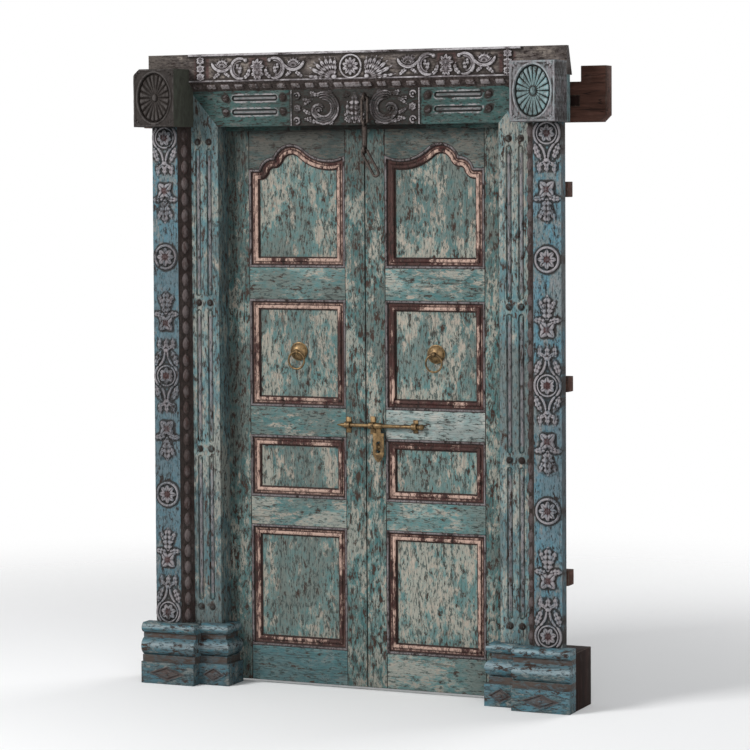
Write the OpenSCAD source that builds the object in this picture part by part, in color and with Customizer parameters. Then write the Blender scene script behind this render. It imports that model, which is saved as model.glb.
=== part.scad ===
// Carved double-leaf door in its frame, standing on two moulded bases.
// Millimetres, +Z up, front towards -Y. The origin lies on the floor, at the middle of the
// width and of the depth. Pieces are drawn from the frieze face, where y is 0.

/* [Opening] */
// Clear width between the fluted bands of the two jambs
opening_w = 1024; // [940:2:1160]
// Clear height from the floor to the lintel
opening_h = 1905; // [1800:5:2050]

/* [Jambs] */
// Width of the fluted band
band_w = 101; // [92:1:116]
// Set-back of the fluted band behind the frieze face
band_set = 30; // [24:1:36]
// Width of the slanting bead strip
bead_w = 33; // [28:1:40]
// Width of the carved pilaster
pilaster_w = 96; // [90:1:120]
// How far the pilaster stands in front of the frieze face
pilaster_proud = 10; // [4:1:16]
// Width of the jamb timber
jamb_w = 178; // [165:1:200]
// Depth of the jamb timber, which is the depth of the reveal
jamb_d = 74; // [60:1:90]
// Depth of the rear post
post_d = 51; // [40:1:56]
// Length of a wall key beyond the jamb
key_reach = 55; // [40:1:70]
// Height and thickness of a wall key
key_size = 50; // [36:1:56]

/* [Head] */
// Height of the lintel's fluted face
lintel_h = 120; // [110:1:135]
// Height of the bead course
bead_h = 31; // [26:1:40]
// Height of the frieze
frieze_h = 94; // [84:1:110]
// Thickness of the frieze at its top
frieze_top_t = 18; // [14:1:30]
// Thickness of the frieze at its foot
frieze_foot_t = 50; // [40:1:60]
// Reach of each horn of the head beam beyond the frieze
horn_reach = 97; // [70:1:130]
// Height of the head beam
beam_h = 131; // [110:1:145]
// Thickness of the head beam
beam_t = 56; // [56:1:70]
// Length of the raised end of a horn
hook_w = 87; // [60:1:92]
// Height of the raised end of a horn
hook_h = 51; // [30:1:60]

/* [Corner blocks] */
// Width of a corner block
block_w = 155; // [140:1:165]
// Height of a corner block
block_h = 195; // [175:1:210]
// How far a corner block stands in front of the frieze face
block_proud = 109; // [90:1:125]
// How far a corner block stands out past the pilaster
block_over = 17; // [8:1:26]
// Petals of the oval rosette
petals = 20; // [16:1:24]

/* [Bases] */
// Height of the moulded plinth
plinth_h = 207; // [190:1:230]
// Height of the rear foot block
foot_h = 190; // [170:1:190]
// How far the plinth stands in front of the frieze face
plinth_proud = 52; // [44:1:64]
// Thickness of the outer part of the plinth
plinth_t = 60; // [56:1:72]
// Set-back of the inner part of the plinth
step_back = 45; // [36:1:52]
// Width of the inner part of the plinth
step_w = 112; // [100:1:125]
// How far the base stands out past the pilaster
base_over = 39; // [28:1:50]
// How far the base reaches into the opening
base_in = 44; // [30:1:52]

/* [Leaves] */
// Thickness of a leaf
leaf_t = 36; // [32:1:40]
// Gap between a leaf and the back of the jambs
leaf_gap = 2; // [1.5:0.5:4]
// Gap between the two leaves
meet_gap = 3; // [2:0.5:5]
// Gap under a leaf
floor_gap = 10; // [9:1:16]
// Gap over a leaf
head_gap = 10; // [6:1:16]
// Width of the meeting stile
meet_stile_w = 71.5; // [64:0.5:80]
// Width of the hanging stile that shows in the opening
hang_stile_w = 80; // [72:1:90]
// Distance of the pivot behind the edge of the jamb
hang_lap = 30; // [24:1:36]
// Height of the bottom rail
bottom_rail_h = 120; // [100:1:135]
// Share of the panels' height that the tall lower panel takes
tall_share = 0.314; // [0.3:0.001:0.33]
// Height of the rail over the tall panel
low_rail_h = 97; // [86:1:110]
// Share of the panels' height that the small panel takes
small_share = 0.159; // [0.145:0.001:0.17]
// Height of the lock rail
lock_rail_h = 99; // [92:1:110]
// Share of the panels' height that the square panel takes
square_share = 0.276; // [0.26:0.001:0.29]
// Height of the rail under the arched panel
high_rail_h = 109; // [96:1:120]
// Height of the top rail over the arch's shoulder
top_rail_h = 136; // [126:1:150]
// Depth of a panel's face behind the leaf's face
panel_sink = 13; // [11:0.5:15]
// Thickness of a panel
panel_t = 12; // [10:0.5:14]
// Width of the panel moulding, as a share of the panel's width
mould_share = 0.1; // [0.09:0.001:0.103]

/* [Arch] */
// Radius of the crest, as a share of the panel's width, like the other sizes of the arch
crest_share = 0.2; // [0.185:0.001:0.21]
// Height of the crest above the shoulder
rise_share = 0.237; // [0.22:0.001:0.255]
// Distance from the crest to the middle of the shoulder curve
gap_share = 0.192; // [0.18:0.001:0.205]
// Radius of the shoulder curve
shoulder_share = 0.145; // [0.135:0.001:0.155]
// Level stretch of the shoulder
flat_share = 0.106; // [0.106:0.001:0.125]
// Distance of the dip from the meeting stile
dip_share = 0.167; // [0.14:0.001:0.19]
// Height of the dip above the shoulder
dip_rise_share = 0.0865; // [0.07:0.0005:0.1]

/* [Hardware] */
// Radius of a ring pull, to the middle of its wire
ring_r = 29; // [26:0.5:34]
// Radius of the ring's wire
ring_wire = 3.2; // [2.6:0.1:3.6]
// Radius of a ring rose
rose_r = 31.5; // [28:0.5:36]
// Radius of the bolt rod
rod_r = 6.5; // [5.5:0.1:7.5]
// Length of the bolt rod
rod_l = 318; // [300:1:330]
// Travel of the bolt from drawn to shot
bolt_travel = 105; // [96:1:106]
// Width of the hasp's blade
hasp_w = 40; // [34:1:44]
// Length of the hasp below the rod
hasp_l = 122; // [110:1:130]
// Radius of the chain's wire
chain_wire = 4.6; // [4:0.1:5]
// Length of a chain piece, from bearing to bearing
chain_pitch = 86; // [76:1:96]

/* [Fits] */
// Radial clearance of a turning or sliding pin
run_clear = 0.06; // [0.03:0.01:0.1]
// Clearance at the end of a pin or a tongue
end_clear = 0.3; // [0.2:0.1:0.5]

/* [Hidden] */
$fn = 48;

// Colours, as they show from a step away
paint = "#6f9699";
pale_paint = "#7fa9ae";
dark_wood = "#3a2622";
bare_wood = "#4a3a34";
maroon = "#5a3330";
brass = "#8a6b3c";
iron = "#3c3734";

// Planes across the width, for the right-hand half
x_open = opening_w / 2;
x_band = x_open + band_w;
x_bead = x_band + bead_w;
x_pil = x_bead + pilaster_w;
x_jamb = x_open + jamb_w;
x_face = x_pil + block_over;
x_block = x_face - block_w;
x_horn = x_face + horn_reach;
x_base = x_pil + base_over;
x_base_in = x_open - base_in;
x_step = x_base_in + step_w;

// Planes through the depth, from the frieze face
y_jamb_back = band_set + jamb_d;
y_post_back = y_jamb_back + post_d;
y_beam_back = y_jamb_back + beam_t;
y_leaf = y_jamb_back + leaf_gap;
y_panel = y_leaf + panel_sink;
y_step = step_back - plinth_proud;
y_plinth_back = plinth_t - plinth_proud;
face_y = (block_proud - y_beam_back) / 2;

// Levels
z_beads = opening_h + lintel_h;
z_frieze = z_beads + bead_h;
z_top = z_frieze + frieze_h;

// Pivots and the post that stands clear of them
pivot_r = 11;
pivot_l = 40;
pin_r = 10;
pin_l = 30;
plate_t = 8;
plate_in = 27;
plate_out = 68;
plate_front = 54;
plate_back = 26;
post_clear = 6;
axis_x = x_open + hang_lap;
axis_y = y_leaf + leaf_t / 2;
x_post = axis_x + leaf_t / 2 + post_clear;

// Leaf: edges of the panel openings and their levels
x_meet = meet_gap / 2;
x_m = x_meet + meet_stile_w;
x_h = x_open - hang_stile_w;
panel_w = x_h - x_m;
mould_w = panel_w * mould_share;
z_leaf = floor_gap;
z_leaf_top = opening_h - head_gap;
rails_h = bottom_rail_h + low_rail_h + lock_rail_h + high_rail_h + top_rail_h;
panels_h = z_leaf_top - z_leaf - rails_h;
z_tall = z_leaf + bottom_rail_h;
z_low = z_tall + panels_h * tall_share;
z_small = z_low + low_rail_h;
z_lock = z_small + panels_h * small_share;
z_square = z_lock + lock_rail_h;
z_high = z_square + panels_h * square_share;
z_arch = z_high + high_rail_h;
z_shoulder = z_leaf_top - top_rail_h;
panel_levels = [[z_tall, z_low], [z_small, z_lock], [z_square, z_high], [z_arch, z_shoulder]];
rail_levels = [[z_leaf, z_tall], [z_low, z_small], [z_lock, z_square], [z_high, z_arch]];
groove_d = 10;
tongue = groove_d - 1;
tenon_l = 40;
tenon_inset = groove_d + 8;

// Arch of the top panel: centres and radii of its three curves, and where they meet
crest_r = panel_w * crest_share;
crest_rise = panel_w * rise_share;
crest_gap = panel_w * gap_share;
shoulder_r = panel_w * shoulder_share;
shoulder_flat = panel_w * flat_share;
dip_off = panel_w * dip_share;
dip_rise = panel_w * dip_rise_share;
shoulder_drop = shoulder_r * 0.23;
shoulder_c = [
    x_h - shoulder_flat - sqrt(pow(shoulder_r, 2) - pow(shoulder_drop, 2)),
    z_shoulder - shoulder_drop
];
crest_c = [shoulder_c.x - crest_gap, z_shoulder + crest_rise - crest_r];
dip_x = x_m + dip_off;
dip_dz = z_shoulder + dip_rise - crest_c.y;
dip_r = (pow(crest_c.x - dip_x, 2) + dip_dz * dip_dz - crest_r * crest_r) / (2 * (crest_r - dip_dz));
dip_c = [dip_x, z_shoulder + dip_rise + dip_r];
crest_dir = (dip_c - crest_c) / norm(dip_c - crest_c);
notch_d = norm(shoulder_c - crest_c);
notch_a = (notch_d * notch_d + crest_r * crest_r - shoulder_r * shoulder_r) / (2 * notch_d);
notch_dir = (shoulder_c - crest_c) / notch_d;
notch = crest_c + notch_a * notch_dir
    + sqrt(crest_r * crest_r - notch_a * notch_a) * [-notch_dir.y, notch_dir.x];
shoulder_end = [x_h - shoulder_flat, z_shoulder];
arch_foot = dip_c.y - sqrt(dip_r * dip_r - dip_off * dip_off);

// Relief carving: heights of leaves and stems, and how deep they root in the wood
rise = 8;
bed = 3;
wire = 4;

// Hardware places on the right leaf
rod_z = (z_lock + z_square) / 2 - 5;
rod_y = y_leaf - 14;
rod_tip = x_meet + 3;
guide_w = 18;
guide_x = rod_tip + 13;
collar_w = 4;
collar_r = rod_r + 2.5;
sleeve_w = 22;
sleeve_x = guide_x + guide_w + bolt_travel + 1 + collar_w;
far_guide_x = sleeve_x + sleeve_w + collar_w + 2;
keeper_x = 53;
ring_x = (x_m + x_h) / 2;
ring_eye_z = (z_square + z_high) / 2 + 6;
eye_reach = 24;
eye_r = 9;
eye_hole = ring_wire + 1.6;
ring_y = y_panel - eye_reach;

// Chain places on the lintel
chain_x = 47;
chain_y = band_set - 26;
chain_eye_z = opening_h + lintel_h * 0.76;
chain_eye_r = chain_wire * 2.3;
link_r = chain_wire * 2.2;
bar_r = chain_wire * 1.9;

function angle_of(v) = atan2(v.y, v.x);
function polar(r, a) = [r * cos(a), r * sin(a)];
function oval(a, b, n) = [for (i = [0 : n - 1]) [a * cos(360 * i / n), b * sin(360 * i / n)]];

// Placing: from the frieze face, on either side, and standing out of a wall plane
module at_face() { translate([0, face_y, 0]) children(); }
module on_right() { at_face() children(); }
module on_left() { at_face() mirror([1, 0, 0]) children(); }
module proud_of(y) { translate([0, y, 0]) rotate([90, 0, 0]) children(); }
module slab(y, t) { proud_of(y + t) linear_extrude(t) children(); }
module box(x0, x1, y0, y1, z0, z1) { translate([x0, y0, z0]) cube([x1 - x0, y1 - y0, z1 - z0]); }

// Carving: a pointed leaf from its foot upwards, a stem along an arc, and a ring of petals
module leaf(len, wid, high = rise) {
    arc_r = (len * len + wid * wid) / (4 * wid);
    fall = 0.7 * high;
    crown_r = (wid * wid / 4 + fall * fall) / (2 * fall);
    intersection() {
        translate([0, 0, -bed]) linear_extrude(high + bed) intersection() {
            translate([arc_r - wid / 2, len / 2]) circle(arc_r);
            translate([wid / 2 - arc_r, len / 2]) circle(arc_r);
        }
        translate([0, -1, high - crown_r]) rotate([-90, 0, 0]) cylinder(r = crown_r, h = len + 2);
    }
}
module stem(r, from, to, thick = wire) {
    rotate([0, 0, from]) rotate_extrude(angle = to - from) translate([r, 0]) circle(thick);
}
module flower(r, n) {
    for (i = [0 : n - 1])
        rotate([0, 0, 360 * i / n]) translate([0, r * 0.34]) leaf(r * 0.66, 3 * r / n);
    boss(r * 0.28);
}
module ring_band(r, half_w) {
    translate([0, 0, -bed]) linear_extrude(bed + wire) difference() {
        circle(r + half_w);
        circle(r - half_w);
    }
}
module boss(r) { translate([0, 0, -r * 0.35]) sphere(r); }

// Frieze motifs: fan of leaves with a low frond, and a curl with the hanging leaf beside it
module fan(angles, from, len, wid) {
    for (a = angles) rotate([0, 0, a]) translate([0, from]) leaf(len, wid);
}
module palmette(h) {
    fan([28, 8, -12, -32], h * 0.16, h * 0.8, h * 0.15);
    boss(h * 0.11);
    translate([h * 0.62, -h * 0.02]) {
        stem(h * 0.5, 25, 95);
        fan([38, -28], h * 0.08, h * 0.33, h * 0.15);
    }
}
module curl(r) {
    stem(r, 60, 285);
    translate(polar(r * 0.9, 262)) fan([-45, 0, 42], r * 0.2, r * 0.72, r * 0.32);
    translate([-r * 2, 0]) {
        translate([0, r * 0.95]) stem(r * 1.15, 205, 305);
        fan([-32, 0, 32], r * 0.18, r * 0.72, r * 0.27);
    }
}
module frieze_half(half) {
    curl_r = frieze_h * 0.36;
    rose_x = half * 0.568;
    translate([half * 0.13, -frieze_h * 0.35]) palmette(frieze_h * 0.82);
    translate([rose_x, 0]) {
        flower(frieze_h * 0.33, 8);
        for (m = [0, 1])
            mirror([m, 0, 0]) translate([-curl_r * 1.9, 0]) curl(curl_r);
    }
    translate([half * 0.91, 0]) boss(frieze_h * 0.14);
}

// Frieze beam over the whole width, thicker at its foot, with a lip along the top
module frieze() {
    lip_h = frieze_h * 0.09;
    lip_t = 8;
    mid = z_frieze + (frieze_h - lip_h) / 2;
    color(bare_wood) at_face() {
        translate([-x_face, 0, 0]) rotate([90, 0, 90]) linear_extrude(2 * x_face) polygon([
            [0, z_frieze], [frieze_foot_t, z_frieze], [frieze_top_t, z_top], [0, z_top]
        ]);
        box(-x_block, x_block, -lip_t, 0, z_top - lip_h, z_top);
        proud_of(0) translate([0, mid]) {
            flower(frieze_h * 0.34, 8);
            ring_band(frieze_h * 0.4, wire * 0.75);
            for (m = [0, 1]) mirror([m, 0, 0]) frieze_half(x_block);
        }
    }
}

// Slanting course of blocks under the frieze, with a drop of leaves below its middle flower
module bead_course() {
    slope = atan2(band_set, bead_h);
    face = norm([bead_h, band_set]);
    count = floor(x_block / 52);
    pitch = x_block / (count + 0.5);
    high = 5;
    color(maroon) at_face() {
        translate([-x_block, 0, 0]) rotate([90, 0, 90]) linear_extrude(2 * x_block) polygon([
            [band_set, z_beads], [band_set, z_frieze], [0, z_frieze]
        ]);
        translate([0, band_set / 2, z_beads + bead_h / 2]) rotate([slope, 0, 0]) {
            for (i = [-count : count])
                if (i != 0) translate([i * pitch, 0, 0])
                    cube([pitch * 0.48, 2 * high, face * 0.44], center = true);
            rotate([90, 0, 0]) for (x = [-1, 0, 1])
                translate([x * face * 0.4, -face * 0.26]) leaf(face * 0.52, face * 0.36, high + 1);
        }
    }
}

// Flutes: a round-ended sunk channel with a reed lying in it
flute_w = 20;
flute_d = 7;
module channel(len) {
    translate([0, 0, -flute_d]) linear_extrude(flute_d + 1) {
        translate([-flute_w / 2, 0]) square([flute_w, len]);
        circle(flute_w / 2);
        translate([0, len]) circle(flute_w / 2);
    }
}
module reed(len) {
    reed_r = flute_w * 0.3;
    translate([0, 0, -flute_d]) {
        rotate([-90, 0, 0]) cylinder(r = reed_r, h = len);
        sphere(reed_r);
        translate([0, len, 0]) sphere(reed_r);
    }
}
flute_gap = 22;
boss_r = 12;

// Lintel: mitred to the jambs, with two flutes at each end, scrolls in the middle and the leaves' stop
lintel_flutes = [opening_h + lintel_h * 0.4, opening_h + lintel_h * 0.79];
lintel_bosses = [x_open * 0.515, x_open * 0.935];
module lintel_outline() {
    mitre = band_w / lintel_h;
    top_x = x_open + (z_frieze - opening_h) * mitre;
    polygon([[-x_open, opening_h], [x_open, opening_h], [top_x, z_frieze], [-top_x, z_frieze]]);
}
module scroll(r) {
    stem(r, -50, 215);
    stem(r * 0.58, 20, 300, wire * 0.8);
    boss(r * 0.24);
    for (a = [20, 62, 104, 146])
        translate(polar(r * 1.2, a)) rotate([0, 0, a - 55]) leaf(r * 0.5, r * 0.26);
    translate([r * 1.6, -r * 0.7]) fan([-60, -22, 16], r * 0.15, r * 0.85, r * 0.28);
}
module lintel() {
    mid = opening_h + lintel_h * 0.47;
    flute_x = lintel_bosses[0] + flute_gap + flute_w / 2;
    flute_l = lintel_bosses[1] - lintel_bosses[0] - 2 * flute_gap - flute_w;
    stop_t = 12;
    stop_h = head_gap + 4;
    color(paint) at_face() {
        box(end_clear - x_open, x_open - end_clear, y_jamb_back - stop_t, y_jamb_back - 0.5,
            opening_h - stop_h, opening_h + 1);
        difference() {
            slab(band_set, jamb_d) lintel_outline();
            proud_of(band_set) for (s = [0, 1], z = lintel_flutes)
                mirror([s, 0, 0]) translate([flute_x, z]) rotate([0, 0, -90]) channel(flute_l);
            translate([chain_x, 0, chain_eye_z]) rotate([-90, 0, 0])
                cylinder(r = chain_wire + run_clear, h = band_set + 40 + end_clear);
        }
        proud_of(band_set) for (s = [0, 1]) mirror([s, 0, 0]) {
            for (z = lintel_flutes) {
                translate([flute_x, z]) rotate([0, 0, -90]) reed(flute_l);
                for (x = lintel_bosses) translate([x, z]) boss(boss_r);
            }
            translate([x_open * 0.23, mid]) scroll(lintel_h * 0.3);
        }
        proud_of(band_set) translate([0, mid - lintel_h * 0.42]) leaf(lintel_h * 0.8, lintel_h * 0.36);
    }
}

// Rear head beam: horns past the frieze, raised ends, pivot bores and draw pegs
peg_w = 34;
peg_d = 30;
peg_x = x_face - 12;
peg_z = opening_h + beam_h * 0.53;
module head_beam_outline() {
    cut = 22;
    polygon([
        [-x_horn + cut, opening_h], [x_horn - cut, opening_h], [x_horn, opening_h + cut],
        [x_horn, opening_h + beam_h + hook_h], [x_horn - hook_w, opening_h + beam_h + hook_h],
        [x_horn - hook_w, opening_h + beam_h], [hook_w - x_horn, opening_h + beam_h],
        [hook_w - x_horn, opening_h + beam_h + hook_h], [-x_horn, opening_h + beam_h + hook_h],
        [-x_horn, opening_h + cut]
    ]);
}
module head_beam() {
    color(dark_wood) at_face() difference() {
        slab(y_jamb_back, beam_t) head_beam_outline();
        for (s = [-1, 1]) {
            translate([s * axis_x, axis_y, opening_h - 1])
                cylinder(r = pivot_r + run_clear, h = pivot_l + end_clear + 1);
            translate([s * peg_x, y_jamb_back - 1, peg_z]) rotate([-90, 0, 0])
                linear_extrude(peg_d + 1) square(peg_w, center = true);
        }
    }
}
module head_pegs() {
    inset = 4;
    color(dark_wood) at_face() for (s = [-1, 1])
        translate([s * peg_x, y_jamb_back + inset, peg_z]) rotate([-90, 0, 0])
            linear_extrude(peg_d - inset) square(peg_w, center = true);
}

// Jamb: fluted band in three lengths between pairs of bosses, mitred to the lintel
boss_mid = 500;
boss_zc = (plinth_h + opening_h) / 2;
boss_levels = [plinth_h + 56, boss_zc - boss_mid / 2, boss_zc + boss_mid / 2, opening_h - 51];
flute_xs = [x_open + band_w * 0.34, x_open + band_w * 0.76];
key_levels = [opening_h * 0.224, opening_h * 0.555, opening_h * 0.886];
key_y = band_set + jamb_d / 2;
key_tenon = 20;
module key_box(x0, x1) {
    for (z = key_levels)
        box(x0, x1, key_y - key_size / 2, key_y + key_size / 2, z - key_size / 2, z + key_size / 2);
}
module jamb() {
    flute_l = [for (i = [0 : 2]) boss_levels[i + 1] - boss_levels[i] - 2 * flute_gap - flute_w];
    difference() {
        slab(band_set, jamb_d) difference() {
            translate([x_open, foot_h]) square([jamb_w, z_frieze - foot_h]);
            lintel_outline();
        }
        proud_of(band_set) for (x = flute_xs, i = [0 : 2])
            translate([x, boss_levels[i] + flute_gap + flute_w / 2]) channel(flute_l[i]);
        key_box(x_jamb - key_tenon, x_jamb + 1);
    }
    proud_of(band_set) for (x = flute_xs) {
        for (i = [0 : 2])
            translate([x, boss_levels[i] + flute_gap + flute_w / 2]) reed(flute_l[i]);
        for (z = boss_levels) translate([x, z]) boss(boss_r);
    }
}
module jamb_left() { color(pale_paint) on_left() jamb(); }
module jamb_right() { color(pale_paint) on_right() jamb(); }

// Rear post, clear of the leaf's rounded edge
module post() { box(x_post, x_jamb, y_jamb_back, y_post_back, foot_h, opening_h); }
module post_left() { color(dark_wood) on_left() post(); }
module post_right() { color(dark_wood) on_right() post(); }

// Wooden keys that hold the frame in the masonry
module wall_keys() {
    color(dark_wood) {
        on_right() key_box(x_jamb - key_tenon, x_jamb + key_reach);
        on_left() key_box(x_jamb - key_tenon, x_jamb + key_reach);
    }
}

// Pilaster motifs
module fleur(l) {
    translate([0, l * 0.14]) leaf(l * 0.86, l * 0.36);
    for (s = [-1, 1]) translate([s * l * 0.06, -l * 0.02]) rotate([0, 0, -62 * s]) leaf(l * 0.48, l * 0.2);
}
module medallion(r) {
    flower(r * 0.8, 8);
    ring_band(r * 0.93, wire * 0.75);
}
module square_flower(r) {
    fan([45, 135, 225, 315], r * 0.25, r * 0.9, r * 0.7);
    sphere(r * 0.42);
}
module lattice(r, ends) {
    bend = 50;
    gap = 1.5;
    spread = 6;
    turn_r = (r * cos(bend) - spread) / (1 - cos(bend));
    flower(r * 0.62, 6);
    ring_band(r * 0.76, wire * 0.5);
    for (m = [0, 1]) mirror([m, 0, 0]) {
        stem(r, gap - bend, bend - gap, wire * 0.8);
        for (n = ends) mirror([0, n, 0]) {
            translate(polar(r + turn_r, bend)) stem(turn_r, 180 + gap, 180 + bend - gap, wire * 0.8);
            translate([r * 0.9, r]) rotate([0, 0, 17]) leaf(r * 0.95, r * 0.36);
        }
    }
    for (n = ends) mirror([0, n, 0]) translate([0, (r + turn_r) * sin(bend) + spread]) boss(spread);
}
module pilaster() {
    tall = opening_h - plinth_h;
    period = tall * 0.479;
    half = pilaster_w / 2;
    mid = (plinth_h + opening_h) / 2;
    box(x_bead, x_pil, -pilaster_proud, band_set, plinth_h, opening_h);
    proud_of(-pilaster_proud) translate([x_bead + half, mid]) {
        lattice(half * 0.91, [0, 1]);
        translate([0, period]) lattice(half * 0.91, [1]);
        translate([0, -period]) lattice(half * 0.91, [0]);
        for (s = [0, 1]) mirror([0, s, 0]) translate([0, period / 2]) {
            medallion(half * 0.87);
            for (m = [0, 1]) mirror([0, m, 0]) {
                translate([0, period * 0.252]) rotate([0, 0, 180]) fleur(period * 0.11);
                translate([0, period * 0.278]) square_flower(half * 0.52);
            }
        }
    }
}
module pilaster_left() { color(pale_paint) on_left() pilaster(); }
module pilaster_right() { color(pale_paint) on_right() pilaster(); }

// String of beads on the slant between the pilaster and the fluted band
module bead_strip() {
    pitch = 54;
    count = floor((opening_h - plinth_h) / pitch);
    run = (opening_h - plinth_h) / count;
    bead_r = 11;
    translate([0, 0, plinth_h]) linear_extrude(opening_h - plinth_h)
        polygon([[x_band, band_set], [x_bead, -pilaster_proud], [x_bead, band_set]]);
    intersection() {
        for (i = [0 : count - 1])
            translate([(x_band + x_bead) / 2, (band_set - pilaster_proud) / 2, plinth_h + (i + 0.5) * run])
                sphere(bead_r);
        box(x_band, x_bead, -pilaster_proud - bead_r, band_set, plinth_h, opening_h);
    }
}
module bead_strip_left() { color(maroon) on_left() bead_strip(); }
module bead_strip_right() { color(maroon) on_right() bead_strip(); }

// Corner block: oval dish with a rosette of petals, a ring and a leaf in each corner
module rosette() {
    a = block_w * 0.39;
    b = block_h * 0.43;
    dish = 11;
    rim = 5;
    hub = 11;
    inset = 4;
    start = hub * 0.7;
    ends = oval(a - inset, b - inset, petals);
    difference() {
        translate([-block_w / 2, -block_h / 2, -dish - 1]) cube([block_w, block_h, dish + 1]);
        translate([0, 0, -dish]) linear_extrude(dish + 1) polygon(oval(a, b, 40));
    }
    translate([0, 0, -1]) linear_extrude(4) difference() {
        polygon(oval(a + rim, b + rim, 40));
        polygon(oval(a, b, 40));
    }
    for (i = [0 : petals - 1]) {
        reach = norm(ends[i]);
        near = min(norm(ends[i] - ends[(i + 1) % petals]), norm(ends[i] - ends[(i + petals - 1) % petals]));
        translate([0, 0, -dish]) rotate([0, 0, angle_of(ends[i])]) translate([start, 0, 0]) rotate([0, 90, 0])
            cylinder(r1 = 0.46 * near * start / reach, r2 = 0.46 * near, h = reach - start);
    }
    translate([0, 0, -dish]) sphere(hub);
    for (p = [0, 1], q = [0, 1]) mirror([p, 0, 0]) mirror([0, q, 0])
        translate([block_w / 2 - 4, block_h / 2 - 4]) rotate([0, 0, 140]) leaf(26, 13, 5);
}
module corner_block() {
    back = 12;
    z_mid = opening_h + block_h / 2;
    box(x_block, x_face, back - block_proud, 0, opening_h, opening_h + block_h);
    box(x_block, x_face, -1, band_set, opening_h, z_frieze);
    proud_of(-block_proud) translate([(x_block + x_face) / 2, z_mid]) rosette();
}
module corner_block_left() {
    broken = 16;
    color(bare_wood) on_left() difference() {
        corner_block();
        translate([x_face, -block_proud / 2, opening_h + block_h]) rotate([0, 45, 0])
            cube([2 * broken, 2 * block_proud, 2 * broken], center = true);
    }
}
module corner_block_right() { color(paint) on_right() corner_block(); }

// Base mouldings, as an outline from the face inwards: block, band, torus, fillet and roll
module base_profile(deep) {
    block_hh = plinth_h * 0.357;
    band_hh = plinth_h * 0.107;
    torus_r = plinth_h * 0.145;
    fillet_hh = plinth_h * 0.082;
    roll_r = (plinth_h - block_hh - band_hh - 2 * torus_r - fillet_hh) / 2;
    torus_z = block_hh + band_hh;
    roll_z = plinth_h - 2 * roll_r;
    square([deep, block_hh]);
    band_in = plinth_h * 0.058;
    fillet_in = plinth_h * 0.097;
    roll_in = plinth_h * 0.019;
    translate([band_in, 0]) square([deep - band_in, torus_z + 1]);
    translate([torus_r, torus_z + torus_r]) circle(torus_r);
    translate([torus_r, torus_z]) square([deep - torus_r, 2 * torus_r]);
    translate([fillet_in, torus_z]) square([deep - fillet_in, roll_z - torus_z]);
    translate([roll_r + roll_in, roll_z + roll_r]) circle(roll_r);
    translate([roll_r + roll_in, roll_z]) square([deep - roll_r - roll_in, 2 * roll_r]);
}
module rhomb(w, h) { polygon([[-w / 2, 0], [0, -h / 2], [w / 2, 0], [0, h / 2]]); }
module lozenge(w, h) {
    border = 0.2;
    high = 4;
    translate([0, 0, -bed]) linear_extrude(bed + high) difference() {
        rhomb(w, h);
        rhomb(w * (1 - border), h * (1 - border));
    }
    translate([0, 0, -bed]) linear_extrude(bed + high) rhomb(w * (1 - 2 * border), h * (1 - 2 * border));
    translate([0, 0, high]) boss(h * 0.14);
}
module plinth() {
    lozenge_h = plinth_h * 0.25;
    z_loz = plinth_h * 0.178;
    translate([x_step, -plinth_proud, 0]) rotate([90, 0, 90])
        linear_extrude(x_base - x_step) base_profile(plinth_t);
    difference() {
        intersection() {
            translate([x_base_in, y_step, 0]) rotate([90, 0, 90])
                linear_extrude(step_w) base_profile(y_jamb_back - y_step);
            translate([x_base_in, y_jamb_back, 0]) rotate([90, 0, 0])
                linear_extrude(y_jamb_back - y_step) base_profile(step_w);
        }
        box(x_open, x_step + 1, band_set, y_jamb_back + 1, -1, plinth_h + 1);
    }
    proud_of(-plinth_proud) translate([(x_step + x_base) / 2, z_loz])
        lozenge((x_base - x_step) * 0.72, lozenge_h);
    proud_of(y_step) translate([(x_base_in + x_step) / 2, z_loz]) lozenge(step_w * 0.8, lozenge_h);
}
module plinth_left() { color(pale_paint) on_left() plinth(); }
module plinth_right() { color(pale_paint) on_right() plinth(); }

// Rear foot block under the jamb and the post, let out underneath for the pivot plate
module plate_box(top) {
    box(axis_x - plate_in, axis_x + plate_out, axis_y - plate_front, axis_y + plate_back, 0, top);
}
module foot() {
    joint = 0.1;
    difference() {
        union() {
            box(x_open + joint, x_base, band_set + joint, y_jamb_back, 0, foot_h);
            box(x_step + joint, x_base, y_plinth_back + joint, band_set + 1, 0, foot_h);
            box(x_post, x_base, y_jamb_back - 1, y_post_back, 0, foot_h);
        }
        translate([0, 0, -1]) plate_box(plate_t + 1);
    }
}
module foot_left() { color(dark_wood) on_left() foot(); }
module foot_right() { color(dark_wood) on_right() foot(); }

// Iron plate under the foot, with the pin that the leaf turns on
module pivot_plate() {
    plate_box(plate_t);
    translate([axis_x, axis_y, 0]) cylinder(r = pin_r, h = floor_gap + pin_l);
}
module pivot_plate_left() { color(iron) on_left() pivot_plate(); }
module pivot_plate_right() { color(iron) on_right() pivot_plate(); }

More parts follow.
